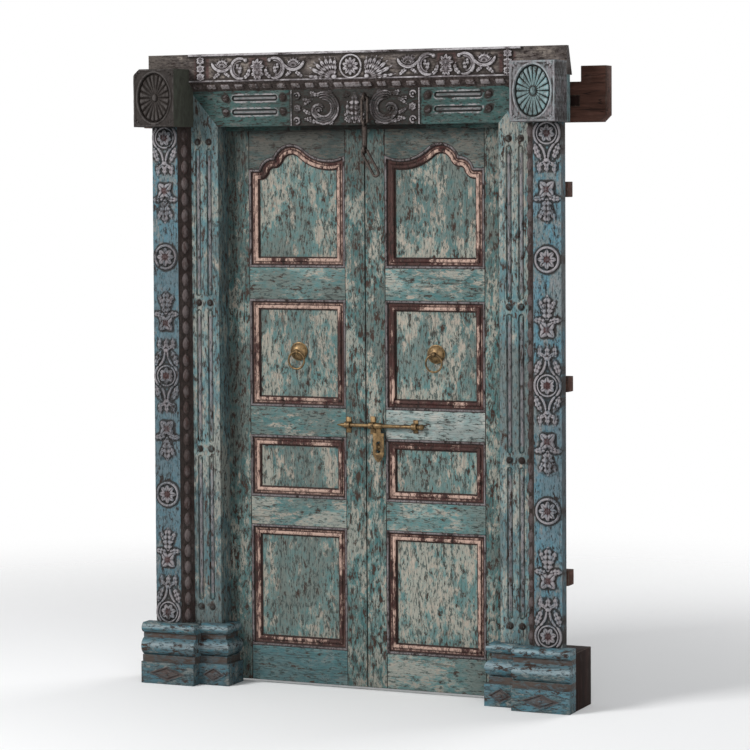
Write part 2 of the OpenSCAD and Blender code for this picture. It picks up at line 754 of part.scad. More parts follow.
// Outlines of the panel openings, drawn in by w all round
function arc_points(c, r, from, to, n) =
    [for (i = [0 : n]) c + polar(r, from + (to - from) * i / n)];
function arch_points(w) = let(
    shoulder = shoulder_r - w,
    crest = crest_r - w,
    dip = dip_r + w,
    a_end = asin((shoulder_drop - w) / max(shoulder, abs(shoulder_drop - w))),
    top_d = (notch_d * notch_d + crest * crest - shoulder * shoulder) / (2 * notch_d),
    top = crest_c + top_d * notch_dir + sqrt(crest * crest - top_d * top_d) * [-notch_dir.y, notch_dir.x],
    a_meet = angle_of(crest_dir),
    a_foot = 180 + acos((dip_off - w) / dip)
) concat(
    [[x_m + w, z_arch + w], [x_h - w, z_arch + w], [x_h - w, z_shoulder - w]],
    arc_points(shoulder_c, shoulder, a_end, angle_of(top - shoulder_c), 12),
    arc_points(crest_c, crest, angle_of(top - crest_c), a_meet, 16),
    [for (i = [1 : 12]) dip_c + polar(dip, a_meet + 180 + (a_foot - a_meet - 180) * i / 12)]
);
module arch_outline(w) { polygon(arch_points(w)); }
module opening_outline(i, w) {
    if (i == 3) arch_outline(w);
    else translate([x_m + w, panel_levels[i][0] + w])
        square([x_h - x_m - 2 * w, panel_levels[i][1] - panel_levels[i][0] - 2 * w]);
}
module panel(i) { slab(y_panel, panel_t) opening_outline(i, -tongue); }
module grooves() { for (i = [0 : 3]) slab(y_panel, panel_t) opening_outline(i, -groove_d); }

// Tenons of the rails; the top rail is deeper at the hanging side of the arch
module tenon_pair(low_m, low_h, top) {
    box(x_m - tenon_l, x_m, y_panel, y_panel + panel_t, low_m + tenon_inset, top - tenon_inset);
    box(x_h, x_h + tenon_l, y_panel, y_panel + panel_t, low_h + tenon_inset, top - tenon_inset);
}
module rail_tenons(i) {
    if (i == 4) tenon_pair(arch_foot, z_shoulder, z_leaf_top);
    else tenon_pair(rail_levels[i][0], rail_levels[i][0], rail_levels[i][1]);
}
module rail(i) {
    difference() {
        if (i == 4) slab(y_leaf, leaf_t) difference() {
            translate([x_m, z_shoulder]) square([x_h - x_m, z_leaf_top - z_shoulder]);
            arch_outline(0);
        }
        else box(x_m, x_h, y_leaf, y_leaf + leaf_t, rail_levels[i][0], rail_levels[i][1]);
        grooves();
    }
    rail_tenons(i);
}
module meeting_stile() {
    difference() {
        box(x_meet, x_m, y_leaf, y_leaf + leaf_t, z_leaf, z_leaf_top);
        grooves();
        for (i = [0 : 4]) rail_tenons(i);
    }
}
module hanging_stile() {
    difference() {
        union() {
            box(x_h, axis_x, y_leaf, y_leaf + leaf_t, z_leaf, z_leaf_top);
            translate([axis_x, axis_y, z_leaf]) cylinder(r = leaf_t / 2, h = z_leaf_top - z_leaf);
        }
        grooves();
        for (i = [0 : 4]) rail_tenons(i);
        translate([axis_x, axis_y, z_leaf - 1]) cylinder(r = pin_r + run_clear, h = pin_l + end_clear + 1);
    }
    translate([axis_x, axis_y, z_leaf_top - 1]) cylinder(r = pivot_r, h = head_gap + pivot_l + 1);
}
module hanging_stile_left() { color(paint) on_left() hanging_stile(); }
module hanging_stile_right() { color(paint) on_right() hanging_stile(); }
module meeting_stile_left() { color(paint) on_left() meeting_stile(); }
module meeting_stile_right() { color(paint) on_right() meeting_stile(); }
module bottom_rail_left() { color(paint) on_left() rail(0); }
module bottom_rail_right() { color(paint) on_right() rail(0); }
module low_rail_left() { color(paint) on_left() rail(1); }
module low_rail_right() { color(paint) on_right() rail(1); }
module lock_rail_left() { color(paint) on_left() rail(2); }
module lock_rail_right() { color(paint) on_right() rail(2); }
module high_rail_left() { color(paint) on_left() rail(3); }
module high_rail_right() { color(paint) on_right() rail(3); }
module top_rail_left() { color(paint) on_left() rail(4); }
module top_rail_right() { color(paint) on_right() rail(4); }
module tall_panel_left() { color(paint) on_left() panel(0); }
module tall_panel_right() { color(paint) on_right() panel(0); }
module small_panel_left() { color(paint) on_left() panel(1); }
module small_panel_right() { color(paint) on_right() panel(1); }
module square_panel_left() { color(paint) on_left() panel(2); }
module square_panel_right() { color(paint) on_right() panel(2); }
module arched_panel_left() { color(paint) on_left() panel(3); }
module arched_panel_right() { color(paint) on_right() panel(3); }

// Panel moulding: outline from the opening's edge inwards, and its straight and curved runs
module mould_profile() {
    fit = 0.15;
    lip_r = 3.5;
    lip_z = panel_sink - 1;
    ridge_r = 6.5;
    ridge_x = mould_w - 4 - ridge_r;
    polygon(concat(
        [[fit, 0], [mould_w, 0], [mould_w, 3], [ridge_x + ridge_r, 3]],
        arc_points([ridge_x, 5], ridge_r, 0, 180, 6),
        [[2 * lip_r, lip_z - 3]],
        arc_points([lip_r + fit / 2, lip_z], lip_r - fit / 2, 0, 180, 6)
    ));
}
module straight_run(from, to, from_in, to_in) {
    over = 0.3;
    intersection() {
        translate(from) rotate([0, 0, angle_of(to - from)]) translate([-2 * mould_w, 0, 0])
            rotate([90, 0, 90]) linear_extrude(norm(to - from) + 4 * mould_w) mould_profile();
        translate([0, 0, -1]) linear_extrude(3 * panel_sink) polygon([
            from - over * (from_in - from), to - over * (to_in - to),
            to_in + over * (to_in - to), from_in + over * (from_in - from)
        ]);
    }
}
module curved_run(c, r, from, to, side) {
    // Each run stops just short of its ends, a fine joint line between the pieces
    part = (r > 0 ? 0.15 : 0.4) * sign(to - from);
    translate(c) rotate([0, 0, from + part]) rotate_extrude(angle = to - from - 2 * part) translate([r, 0])
        mirror([side < 0 ? 1 : 0, 0]) mould_profile();
}
module rect_moulding(z0, z1) {
    w = mould_w;
    outer = [[x_m, z0], [x_h, z0], [x_h, z1], [x_m, z1]];
    inner = [[x_m + w, z0 + w], [x_h - w, z0 + w], [x_h - w, z1 - w], [x_m + w, z1 - w]];
    for (i = [0 : 3]) straight_run(outer[i], outer[(i + 1) % 4], inner[i], inner[(i + 1) % 4]);
}
module arch_moulding() {
    w = mould_w;
    left_top = [x_m, arch_foot];
    left_in = [x_m + w, dip_c.y - sqrt(pow(dip_r + w, 2) - pow(dip_off - w, 2))];
    low = [[x_m, z_arch], [x_h, z_arch], [x_h - w, z_arch + w], [x_m + w, z_arch + w]];
    corner = [x_h, z_shoulder];
    corner_in = [x_h - w, z_shoulder - w];
    mitre = left_in - left_top;
    mitre_gap = [0, 0.3];
    straight_run(low[0], low[1], low[3], low[2]);
    straight_run(low[1], corner, low[2], corner_in);
    straight_run(corner, shoulder_end, corner_in, shoulder_end - [0, w]);
    straight_run(left_top, low[0], left_in, low[3]);
    curved_run(shoulder_end, 0, 360 + angle_of(shoulder_c - shoulder_end), 270, 1);
    curved_run(shoulder_c, shoulder_r, angle_of(shoulder_end - shoulder_c), angle_of(notch - shoulder_c), -1);
    curved_run(notch, 0, angle_of(crest_c - notch), angle_of(shoulder_c - notch), 1);
    curved_run(crest_c, crest_r, angle_of(notch - crest_c), angle_of(crest_dir), -1);
    intersection() {
        curved_run(dip_c, dip_r, 200, 360 + angle_of(-crest_dir), 1);
        translate([0, 0, -1]) linear_extrude(3 * panel_sink) polygon([
            left_top - mitre + mitre_gap, left_in + mitre + mitre_gap, [crest_c.x, z_arch],
            [crest_c.x, z_leaf_top + 3 * w], left_top + [0, z_leaf_top - z_shoulder]
        ]);
    }
}
module mouldings() {
    proud_of(y_panel) {
        for (i = [0 : 2]) rect_moulding(panel_levels[i][0], panel_levels[i][1]);
        arch_moulding();
    }
}
module mouldings_left() { color(maroon) on_left() mouldings(); }
module mouldings_right() { color(maroon) on_right() mouldings(); }

// Ring pull: domed rose with a bored eye, and the ring that hangs in it
module rose() {
    rim = 4;
    dome_h = 15;
    dome_r = (rose_r * rose_r + dome_h * dome_h) / (2 * dome_h);
    difference() {
        proud_of(y_panel) translate([ring_x, ring_eye_z]) {
            cylinder(r = rose_r, h = rim);
            intersection() {
                translate([0, 0, dome_h + rim - dome_r]) sphere(dome_r);
                cylinder(r = rose_r - 3, h = dome_h + rim);
            }
            cylinder(r = eye_r * 0.8, h = eye_reach);
            translate([0, 0, eye_reach]) sphere(eye_r);
        }
        translate([ring_x - 2 * eye_r, ring_y, ring_eye_z]) rotate([0, 90, 0])
            cylinder(r = eye_hole, h = 4 * eye_r);
    }
}
module ring() {
    sag = ring_r - sqrt(ring_r * ring_r - eye_r * eye_r * 0.64);
    hang = eye_hole - ring_wire - sag - end_clear;
    translate([ring_x, ring_y, ring_eye_z - hang - ring_r]) rotate([90, 0, 0])
        rotate_extrude() translate([ring_r, 0]) circle(ring_wire);
}
module rose_left() { color(brass) on_left() rose(); }
module rose_right() { color(brass) on_right() rose(); }
module ring_left() { color(brass) on_left() ring(); }
module ring_right() { color(brass) on_right() ring(); }

// Sliding bolt on the right leaf, shot into its keeper on the left leaf
module guide(x, w, r) {
    difference() {
        union() {
            translate([x, rod_y, rod_z]) rotate([0, 90, 0]) cylinder(r = rod_r + 5, h = w);
            box(x, x + w, rod_y, y_leaf, rod_z - rod_r - 5, rod_z + rod_r + 5);
            box(x, x + w, y_leaf - 3, y_leaf, rod_z - r, rod_z + r);
        }
        translate([x - 1, rod_y, rod_z]) rotate([0, 90, 0]) cylinder(r = rod_r + run_clear, h = w + 2);
    }
}
module bolt_keeper() { color(brass) on_left() guide(keeper_x, guide_w, rod_r + 20); }
module bolt_guides() {
    color(brass) on_right() {
        guide(guide_x, guide_w, rod_r + 24);
        guide(far_guide_x, guide_w, rod_r + 16);
    }
}
module bolt_rod() {
    tip_l = 20;
    knob_r = 10;
    color(brass) on_right() translate([rod_tip - bolt_travel, rod_y, rod_z]) rotate([0, 90, 0]) {
        cylinder(r1 = 1.5, r2 = rod_r, h = tip_l);
        translate([0, 0, tip_l]) cylinder(r = rod_r, h = rod_l - tip_l - knob_r);
        translate([0, 0, rod_l - knob_r]) sphere(knob_r);
        for (x = [sleeve_x - collar_w, sleeve_x + sleeve_w])
            translate([0, 0, x - rod_tip]) cylinder(r = collar_r, h = collar_w);
    }
}
// Hasp: sleeve on the rod, neck, blade with its slot and a leaf-shaped tail
module hasp() {
    neck = rod_r + 18;
    blade_t = 4;
    mid = sleeve_x + sleeve_w / 2;
    blade_end = hasp_l - 34;
    color(brass) on_right() translate([-bolt_travel, 0, 0]) {
        difference() {
            union() {
                translate([sleeve_x + end_clear, rod_y, rod_z]) rotate([0, 90, 0])
                    cylinder(r = rod_r + 4, h = sleeve_w - 2 * end_clear);
                slab(rod_y - blade_t / 2, blade_t) difference() {
                    union() {
                        translate([mid - sleeve_w * 0.4, rod_z - neck - 2])
                            square([sleeve_w * 0.8, neck + 2]);
                        translate([mid - hasp_w / 2, rod_z - blade_end]) square([hasp_w, blade_end - neck]);
                        intersection() {
                            translate([mid - hasp_w * 0.5, rod_z - blade_end]) circle(hasp_w);
                            translate([mid + hasp_w * 0.5, rod_z - blade_end]) circle(hasp_w);
                        }
                    }
                    translate([mid - 8, rod_z - blade_end + 4]) square([16, 24]);
                    translate([mid, rod_z - blade_end + 4]) circle(8);
                    translate([mid, rod_z - blade_end + 28]) circle(8);
                }
            }
            translate([sleeve_x - 1, rod_y, rod_z]) rotate([0, 90, 0])
                cylinder(r = rod_r + run_clear, h = sleeve_w + 2);
        }
    }
}
// Staple that the hasp's slot covers when the bolt is shot
module hasp_staple() {
    x = sleeve_x + sleeve_w / 2 - bolt_travel;
    z = rod_z - hasp_l + 50;
    color(brass) on_right() proud_of(y_leaf) translate([x, z]) {
        cylinder(r = 13, h = 2.5);
        cylinder(r = 6, h = 6);
        translate([0, 0, 6]) sphere(5);
    }
}

// Chain on the lintel: eye with its shank, link, bar with two eyes, and slanting loop
module eye(r) { rotate([0, 90, 0]) rotate_extrude() translate([r, 0]) circle(chain_wire); }
module long_link(len, r) {
    rotate([90, 0, 0]) {
        for (s = [0, 1]) translate([0, s * len]) rotate([0, 0, 180 * (1 - s)])
            rotate_extrude(angle = 180) translate([r, 0]) circle(chain_wire);
        for (x = [-r, r]) translate([x, 0]) rotate([-90, 0, 0]) cylinder(r = chain_wire, h = len);
    }
}
link_top = chain_eye_z - chain_eye_r + chain_wire + end_clear + chain_wire + 0.5;
module chain_staple() {
    shank = 40;
    color(iron) at_face() translate([chain_x, chain_y, chain_eye_z]) {
        eye(chain_eye_r);
        translate([0, chain_eye_r - 1, 0]) rotate([-90, 0, 0])
            cylinder(r = chain_wire, h = band_set - chain_y + shank - chain_eye_r + 1);
    }
}
module chain_link() {
    color(iron) at_face() translate([chain_x, chain_y, link_top - chain_pitch + link_r])
        long_link(chain_pitch - 2 * link_r, link_r);
}
bar_top = link_top - chain_pitch - chain_eye_r + chain_wire * 2 + end_clear + 0.5;
bar_low = bar_top - chain_pitch;
module chain_bar() {
    color(iron) at_face() translate([chain_x, chain_y, 0]) {
        translate([0, 0, bar_top]) eye(chain_eye_r);
        translate([0, 0, bar_low]) eye(chain_eye_r);
        translate([0, 0, bar_low + chain_eye_r - 1])
            cylinder(r = bar_r, h = bar_top - bar_low - 2 * chain_eye_r + 2);
    }
}
loop_top = bar_low - chain_eye_r + 2 * chain_wire + end_clear + 0.5;
module chain_loop() {
    slant = 30;
    len = chain_pitch * 1.15 - 2 * link_r;
    color(iron) at_face() translate([chain_x, chain_y, loop_top - link_r]) rotate([0, -slant, 0])
        translate([0, 0, -len]) long_link(len, link_r);
}

frieze();
bead_course();
lintel();
head_beam();
head_pegs();
jamb_left();
jamb_right();
post_left();
post_right();
pilaster_left();
pilaster_right();
bead_strip_left();
bead_strip_right();
corner_block_left();
corner_block_right();
plinth_left();
plinth_right();
foot_left();
foot_right();
pivot_plate_left();
pivot_plate_right();
wall_keys();
chain_staple();
chain_link();
chain_bar();
chain_loop();
hanging_stile_left();
meeting_stile_left();
bottom_rail_left();
low_rail_left();
lock_rail_left();
high_rail_left();
top_rail_left();
tall_panel_left();
small_panel_left();
square_panel_left();
arched_panel_left();
mouldings_left();
rose_left();
ring_left();
bolt_keeper();
hanging_stile_right();
meeting_stile_right();
bottom_rail_right();
low_rail_right();
lock_rail_right();
high_rail_right();
top_rail_right();
tall_panel_right();
small_panel_right();
square_panel_right();
arched_panel_right();
mouldings_right();
rose_right();
ring_right();
bolt_guides();
hasp_staple();
bolt_rod();
hasp();
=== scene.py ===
"""Carved double-leaf door in its frame: carving, worn paint, metalwork and the studio."""
import logging
import math
from contextlib import contextmanager
from dataclasses import dataclass, field
from enum import Enum
from statistics import NormalDist
from typing import Any, Callable, Dict, Iterator, List, Optional, Sequence, Tuple

import bpy
import numpy as np
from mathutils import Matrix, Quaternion, Vector


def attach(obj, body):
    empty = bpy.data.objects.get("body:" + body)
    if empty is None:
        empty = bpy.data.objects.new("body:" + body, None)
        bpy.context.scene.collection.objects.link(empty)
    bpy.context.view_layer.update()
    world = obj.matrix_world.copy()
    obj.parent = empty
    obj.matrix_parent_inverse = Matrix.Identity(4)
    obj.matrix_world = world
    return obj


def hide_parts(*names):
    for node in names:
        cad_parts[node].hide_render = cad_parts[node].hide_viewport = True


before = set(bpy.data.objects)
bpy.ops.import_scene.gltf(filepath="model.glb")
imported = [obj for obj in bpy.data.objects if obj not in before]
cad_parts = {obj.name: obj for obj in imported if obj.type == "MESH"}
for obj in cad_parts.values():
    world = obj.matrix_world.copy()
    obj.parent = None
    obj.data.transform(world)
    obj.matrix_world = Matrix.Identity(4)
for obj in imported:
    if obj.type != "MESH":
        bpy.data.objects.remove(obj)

LOG = logging.getLogger("door")
RGB = Tuple[float, float, float]
Place = Tuple[float, float, float]
Point = Tuple[float, float]
MM = 0.001
FACE_Y = -25.5  # depth of the frieze face in the CAD frame, in millimetres
# Near-black for dirt, also laid on the left side of the door as painted shade.
SOOT_AND_SHADE: RGB = (0.03, 0.026, 0.023)
SPLIT: RGB = (0.012, 0.009, 0.008)
PAINT_GLOSS = 0.14
WOOD_GLOSS = 0.05


def at(x: Any, y: Any, z: Any) -> Tuple[Any, Any, Any]:
    """A point, or arrays of them, in millimetres from the frieze face, as metres in the CAD frame."""
    return (x * MM, (y + FACE_Y) * MM, z * MM)


def dim(colour: RGB, share: float) -> RGB:
    """A colour at a share of its light."""
    return (colour[0] * share, colour[1] * share, colour[2] * share)


def linear(red: int, green: int, blue: int) -> RGB:
    """A display colour, 0 to 255 a channel, as linear light."""
    def one(c: float) -> float:
        """One channel."""
        c /= 255.0
        return c / 12.92 if c <= 0.04045 else ((c + 0.055) / 1.055) ** 2.4
    return (one(red), one(green), one(blue))


class Grain(Enum):
    """Which way the fibres of a timber run, as the stretch of its pattern."""

    UPRIGHT = (1.0, 1.0, 0.07)
    LEVEL = (0.07, 1.0, 1.0)


class Side(Enum):
    """Left and right halves of the door, as the sign of X."""

    LEFT = -1
    RIGHT = 1

    @property
    def word(self) -> str:
        """The side as it ends a piece's name."""
        return self.name.lower()


@dataclass(frozen=True)
class Sizes:
    """Sizes of the door in millimetres, measured from the frieze face."""

    x_open: float = 512.0
    x_band: float = 613.0
    x_bead: float = 646.0
    x_face: float = 759.0
    x_block: float = 604.0
    z_open: float = 1905.0
    z_beads: float = 2025.0
    z_frieze: float = 2056.0
    plinth: float = 207.0
    band_set: float = 30.0
    pilaster_proud: float = 10.0
    block_proud: float = 109.0
    y_jamb_back: float = 104.0
    y_panel: float = 119.0
    x_meeting: float = 73.0
    x_hanging: float = 432.0
    z_arch: float = 1426.68
    z_shoulder: float = 1759.0


SIZE = Sizes()


class Val:
    """A number that varies over a surface: a socket whose arithmetic adds Math nodes."""

    def __init__(self, shade: "Shade", socket: Any) -> None:
        """Keeps the socket and the material that it belongs to."""
        self.shade = shade
        self.socket = socket

    def _math(self, operation: str, a: Any, b: Any = 0.0) -> "Val":
        """Adds one Math node and returns its result."""
        return self.shade.node("ShaderNodeMath", {"operation": operation}, {0: a, 1: b})

    def __add__(self, other: Any) -> "Val":
        """Sum."""
        return self._math("ADD", self, other)

    __radd__ = __add__

    def __sub__(self, other: Any) -> "Val":
        """Difference."""
        return self._math("SUBTRACT", self, other)

    def __rsub__(self, other: Any) -> "Val":
        """Difference from a number on the left."""
        return self._math("SUBTRACT", other, self)

    def __mul__(self, other: Any) -> "Val":
        """Product."""
        return self._math("MULTIPLY", self, other)

    __rmul__ = __mul__

    def __abs__(self) -> "Val":
        """Size without its sign."""
        return self._math("ABSOLUTE", self)

    def most(self, other: Any) -> "Val":
        """The greater of the two."""
        return self._math("MAXIMUM", self, other)

    def root(self) -> "Val":
        """Square root."""
        return self._math("SQRT", self)

    def smooth(self, low: float, high: float) -> "Val":
        """0 below low, 1 above high, eased between."""
        return self.shade.node("ShaderNodeMapRange", {"interpolation_type": "SMOOTHSTEP"},
                               {0: self, 1: low, 2: high, 3: 0.0, 4: 1.0})


class Shade:
    """One procedural material on Object coordinates."""

    def __init__(self, name: str) -> None:
        """Makes an empty material with its Principled shader."""
        self.material = bpy.data.materials.new(name)
        self.material.use_nodes = True
        self.tree = self.material.node_tree
        self.tree.nodes.clear()
        self.output = self.tree.nodes.new("ShaderNodeOutputMaterial")
        self.surface = self.tree.nodes.new("ShaderNodeBsdfPrincipled")
        self.surface.inputs["Specular IOR Level"].default_value = PAINT_GLOSS
        self.tree.links.new(self.surface.outputs[0], self.output.inputs[0])
        self.place = self.node("ShaderNodeTexCoord", {}, {}, "Object")
        axes = self.node("ShaderNodeSeparateXYZ", {}, {0: self.place})
        self.x, self.y, self.z = (Val(self, axes.socket.node.outputs[i]) for i in range(3))

    def node(self, kind: str, settings: Dict[str, Any], inputs: Dict[Any, Any], out: Any = 0) -> Val:
        """Adds a node.

        Args:
            kind: Blender's name of the node type.
            settings: attributes of the node, set before its sockets.
            inputs: socket names or numbers, with values, colours or other results.
            out: name or number of the output wanted.

        Returns:
            The chosen output.
        """
        new = self.tree.nodes.new(kind)
        for key, value in settings.items():
            setattr(new, key, value)
        for key, value in inputs.items():
            if isinstance(value, Val):
                self.tree.links.new(value.socket, new.inputs[key])
            elif isinstance(value, tuple) and new.inputs[key].type == "RGBA":
                new.inputs[key].default_value = (*value, 1.0)
            else:
                new.inputs[key].default_value = value
        return Val(self, new.outputs[out])

    def mix(self, share: Any, a: Any, b: Any) -> Val:
        """Mixes two colours by a share from 0 to 1."""
        return self.node("ShaderNodeMix", {"data_type": "RGBA"}, {0: share, 6: a, 7: b}, 2)

    def stretched(self, scale: Sequence[float], offset: Sequence[float] = (0.0, 0.0, 0.0)) -> Val:
        """Object coordinates stretched along the axes."""
        return self.node("ShaderNodeMapping", {}, {0: self.place, 1: tuple(offset), 3: tuple(scale)})

    def noise(self, scale: float, detail: float = 5.0, rough: float = 0.55, place: Optional[Val] = None,
              bend: float = 0.0) -> Val:
        """Cloudy pattern from 0 to 1.

        Args:
            scale: blotches a metre.
            detail: octaves.
            rough: weight of the finer octaves.
            place: coordinates, if other than the object's own.
            bend: distortion.

        Returns:
            The pattern's value.
        """
        inputs = {"Vector": place or self.place, "Scale": scale, "Detail": detail, "Roughness": rough,
                  "Distortion": bend}
        return self.node("ShaderNodeTexNoise", {}, inputs)

    def cover(self, parts: Sequence[Tuple[Val, float]], share: float, soft: float) -> Val:
        """Ragged patches that cover about a share of the surface.

        Args:
            parts: patterns and their weights.
            share: part of the surface that is covered.
            soft: softness of the edges.

        Returns:
            1 in the patches and 0 outside.
        """
        spread = 0.075 * math.sqrt(sum(weight * weight for _, weight in parts))
        middle = 0.5 * sum(weight for _, weight in parts) + spread * NormalDist().inv_cdf(1.0 - share)
        total = sum((value * weight for value, weight in parts), 0.0)
        return total.smooth(middle - soft * spread, middle + soft * spread)

    def attribute(self, name: str) -> Val:
        """A number kept on the mesh's points."""
        return self.node("ShaderNodeAttribute", {"attribute_name": name}, {}, "Fac")

    def shine(self, colour: Any, rough: Any, metal: Any = 0.0, alpha: Any = 1.0) -> None:
        """Sets the surface's colour, roughness, metal and cover."""
        for key, value in (("Base Color", colour), ("Roughness", rough), ("Metallic", metal),
                           ("Alpha", alpha)):
            if isinstance(value, Val):
                self.tree.links.new(value.socket, self.surface.inputs[key])
            elif isinstance(value, tuple):
                self.surface.inputs[key].default_value = (*value, 1.0)
            else:
                self.surface.inputs[key].default_value = value

    def bump(self, height: Val, depth_mm: float, strength: float = 0.7) -> None:
        """Raises the surface by a pattern."""
        inputs = {"Strength": strength, "Distance": depth_mm * MM, "Height": height}
        up = self.node("ShaderNodeBump", {}, inputs)
        self.tree.links.new(up.socket, self.surface.inputs["Normal"])


class Shape(Enum):
    """Outline of a patch of colour."""

    BOX = 0
    ROUND = 1
    RHOMB = 2


@dataclass(frozen=True)
class Tint:
    """A colour brushed over part of a finish, in millimetres from the middle and the floor."""

    colour: RGB
    share: float = 0.8
    x: Optional[Point] = None
    z: Optional[Point] = None
    soft: float = 4.0
    shape: Shape = Shape.BOX
    last: bool = False
    side: int = 0  # 1 for the right alone, -1 for the left alone

    def mask(self, s: Shade, broken: Val) -> Val:
        """Where the colour lies, on both sides of the door unless one is named.

        Args:
            s: material that it is laid on.
            broken: pattern of what is left of it.

        Returns:
            Its share, from 0 to 1.
        """
        out_x = s.x * float(self.side) if self.side else abs(s.x)
        parts = ((out_x, self.x), (s.z, self.z))
        away = [(abs(place - part[0] * MM), part[1]) for place, part in parts if part]
        if self.shape is Shape.ROUND:
            away = [((away[0][0] * away[0][0] + away[1][0] * away[1][0]).root(), away[0][1])]
        elif self.shape is Shape.RHOMB:
            away = [(away[0][0] + away[1][0] * (away[0][1] / away[1][1]), away[0][1])]
        out = broken * self.share
        for far, half in away:
            out = out * (1.0 - far.smooth((half - self.soft) * MM, half * MM))
        return out


@dataclass(frozen=True)
class PaintFinish:
    """Old paint over a pale undercoat on teak, chipped and worn through to the wood."""

    name: str
    paint: RGB
    second: RGB
    undercoat: RGB
    wood: RGB
    under: float = 0.34
    flecks: float = 0.13
    bare: float = 0.1
    grain: Grain = Grain.UPRIGHT
    dirt: float = 0.35
    damp: float = 0.3
    deep: Optional[float] = None
    dusk: float = 0.0
    carved: bool = False
    motif: Optional[RGB] = None
    crest: RGB = (0.45, 0.43, 0.43)
    crest_share: float = 0.6
    crest_cover: float = 0.75
    # Near-black of a carving's low places: dirt, and painted shade in the recesses.
    hollow: RGB = (0.018, 0.014, 0.012)
    hollow_share: float = 0.9
    tints: Tuple[Tint, ...] = ()
    seed: float = 0.0

    def make(self) -> bpy.types.Material:
        """Builds the material's nodes.

        Returns:
            The finished material.
        """
        s = Shade(self.name)

        def pattern(scale: float, detail: float, rough: float, stretch: float, move: float = 0.0) -> Val:
            """Clouds drawn out along the grain by a share, moved so that no two finishes match."""
            scales = [1.0 - (1.0 - g) * stretch for g in self.grain.value]
            shift = [self.seed + move, 0.7 * self.seed - move, 0.3 * self.seed + 2.0 * move]
            return s.noise(scale, detail, rough, s.stretched(scales, shift), 0.25)
        fibre = pattern(430.0, 3.0, 0.6, 1.0)
        fine = pattern(200.0, 4.0, 0.65, 0.8)
        mid = pattern(40.0, 6.0, 0.66, 0.62)
        spot = pattern(90.0, 5.0, 0.7, 0.55, 4.0)
        big = pattern(5.5, 4.0, 0.62, 0.5, 9.0)
        vast = pattern(1.9, 2.0, 0.5, 0.3, 17.0)
        crack = abs(pattern(30.0, 3.0, 0.5, 1.0, 23.0) - 0.5).smooth(0.0, 0.012)
        broken = 0.65 + s.cover(((mid, 0.6), (fine, 0.4)), 0.6, 0.6) * 0.35
        colour = s.mix(s.cover(((big, 0.6), (mid, 0.4)), 0.45, 0.5), self.paint, self.second)
        colour = s.mix(s.cover(((vast, 0.6), (big, -0.4)), 0.4, 0.9) * 0.5, colour, dim(self.paint, 0.55))
        colour = s.mix(s.cover(((big, -0.5), (spot, 0.5)), 0.4, 1.3) * 0.3, colour, self.undercoat)
        under = s.cover(((big, 0.42), (mid, 0.36), (fine, 0.22)), self.under, 0.3)
        worn = s.mix(s.cover(((big, 0.5), (spot, 0.5)), 0.4, 0.8), self.undercoat, self.second)
        colour = s.mix(under * 0.85, colour, s.mix(0.55, worn, self.undercoat))
        for tint in self.tints:
            if not tint.last:
                colour = s.mix(tint.mask(s, broken), colour, tint.colour)
        if self.motif:
            colour = s.mix(s.attribute("motif") * broken, colour, self.motif)
        colour = s.mix(s.cover(((fine, 0.6), (fibre, 0.4)), 0.45, 1.0) * 0.3, colour, dim(self.paint, 0.35))
        flecks = s.cover(((spot, 0.5), (fine, 0.5)), self.flecks, 0.4)
        colour = s.mix(flecks * 0.75, colour, dim(self.paint, 0.25))
        bare = s.cover(((mid, -0.4), (spot, 0.35), (fibre, 0.25)), self.bare, 0.35)
        colour = s.mix(bare, colour, s.mix(fibre.smooth(0.35, 0.65), dim(self.wood, 0.4), self.wood))
        colour = s.mix((1.0 - crack) * 0.6, colour, UMBER)
        height = bare * -0.6 + under * -0.3 + fine * 0.35 + fibre * 0.3 + crack * 0.5
        if self.carved:
            level = s.attribute("carving") + (spot - 0.5) * 0.5
            rubbed = s.cover(((big, 0.55), (mid, 0.27), (fine, 0.18)), self.crest_cover, 0.45)
            rubbed = rubbed * (0.35 + s.cover(((spot, 0.6), (fine, 0.4)), 0.66, 0.5) * 0.65)
            # Low places of the carving darkened towards near-black: dirt, and painted shade in the recesses.
            colour = s.mix((0.48 - level).smooth(0.0, 0.12) * self.hollow_share, colour, self.hollow)
            colour = s.mix(level.smooth(0.56, 0.74) * rubbed * self.crest_share, colour, self.crest)
        for tint in self.tints:
            if tint.last:
                colour = s.mix(tint.mask(s, broken), colour, tint.colour)
        # Dirt in patches and towards the floor, darker towards the top by dusk, and the left side of the door
        # darkened a little as painted shadow cast by the left jamb.
        grime_and_shade = s.cover(((big, -0.6), (spot, 0.4)), 0.3, 1.2) * self.dirt
        grime_and_shade = grime_and_shade.most((self.damp - s.z).smooth(0.0, self.damp) * self.dirt)
        # The last term is painted shadow of the left jamb, laid over the whole left side.
        grime_and_shade = grime_and_shade.most(s.z.smooth(1.55, 1.85) * self.dusk) + (0.06 - s.x).smooth(0.0, 0.2) * 0.16
        colour = s.mix(grime_and_shade * 0.7, colour, SOOT_AND_SHADE)
        if self.deep is not None:
            colour = s.mix((s.y - (self.deep + FACE_Y) * MM).smooth(0.0, 0.002), colour, UMBER)
        s.shine(colour, 0.6 + fibre * 0.25)
        s.bump(height, 0.9)
        return s.material


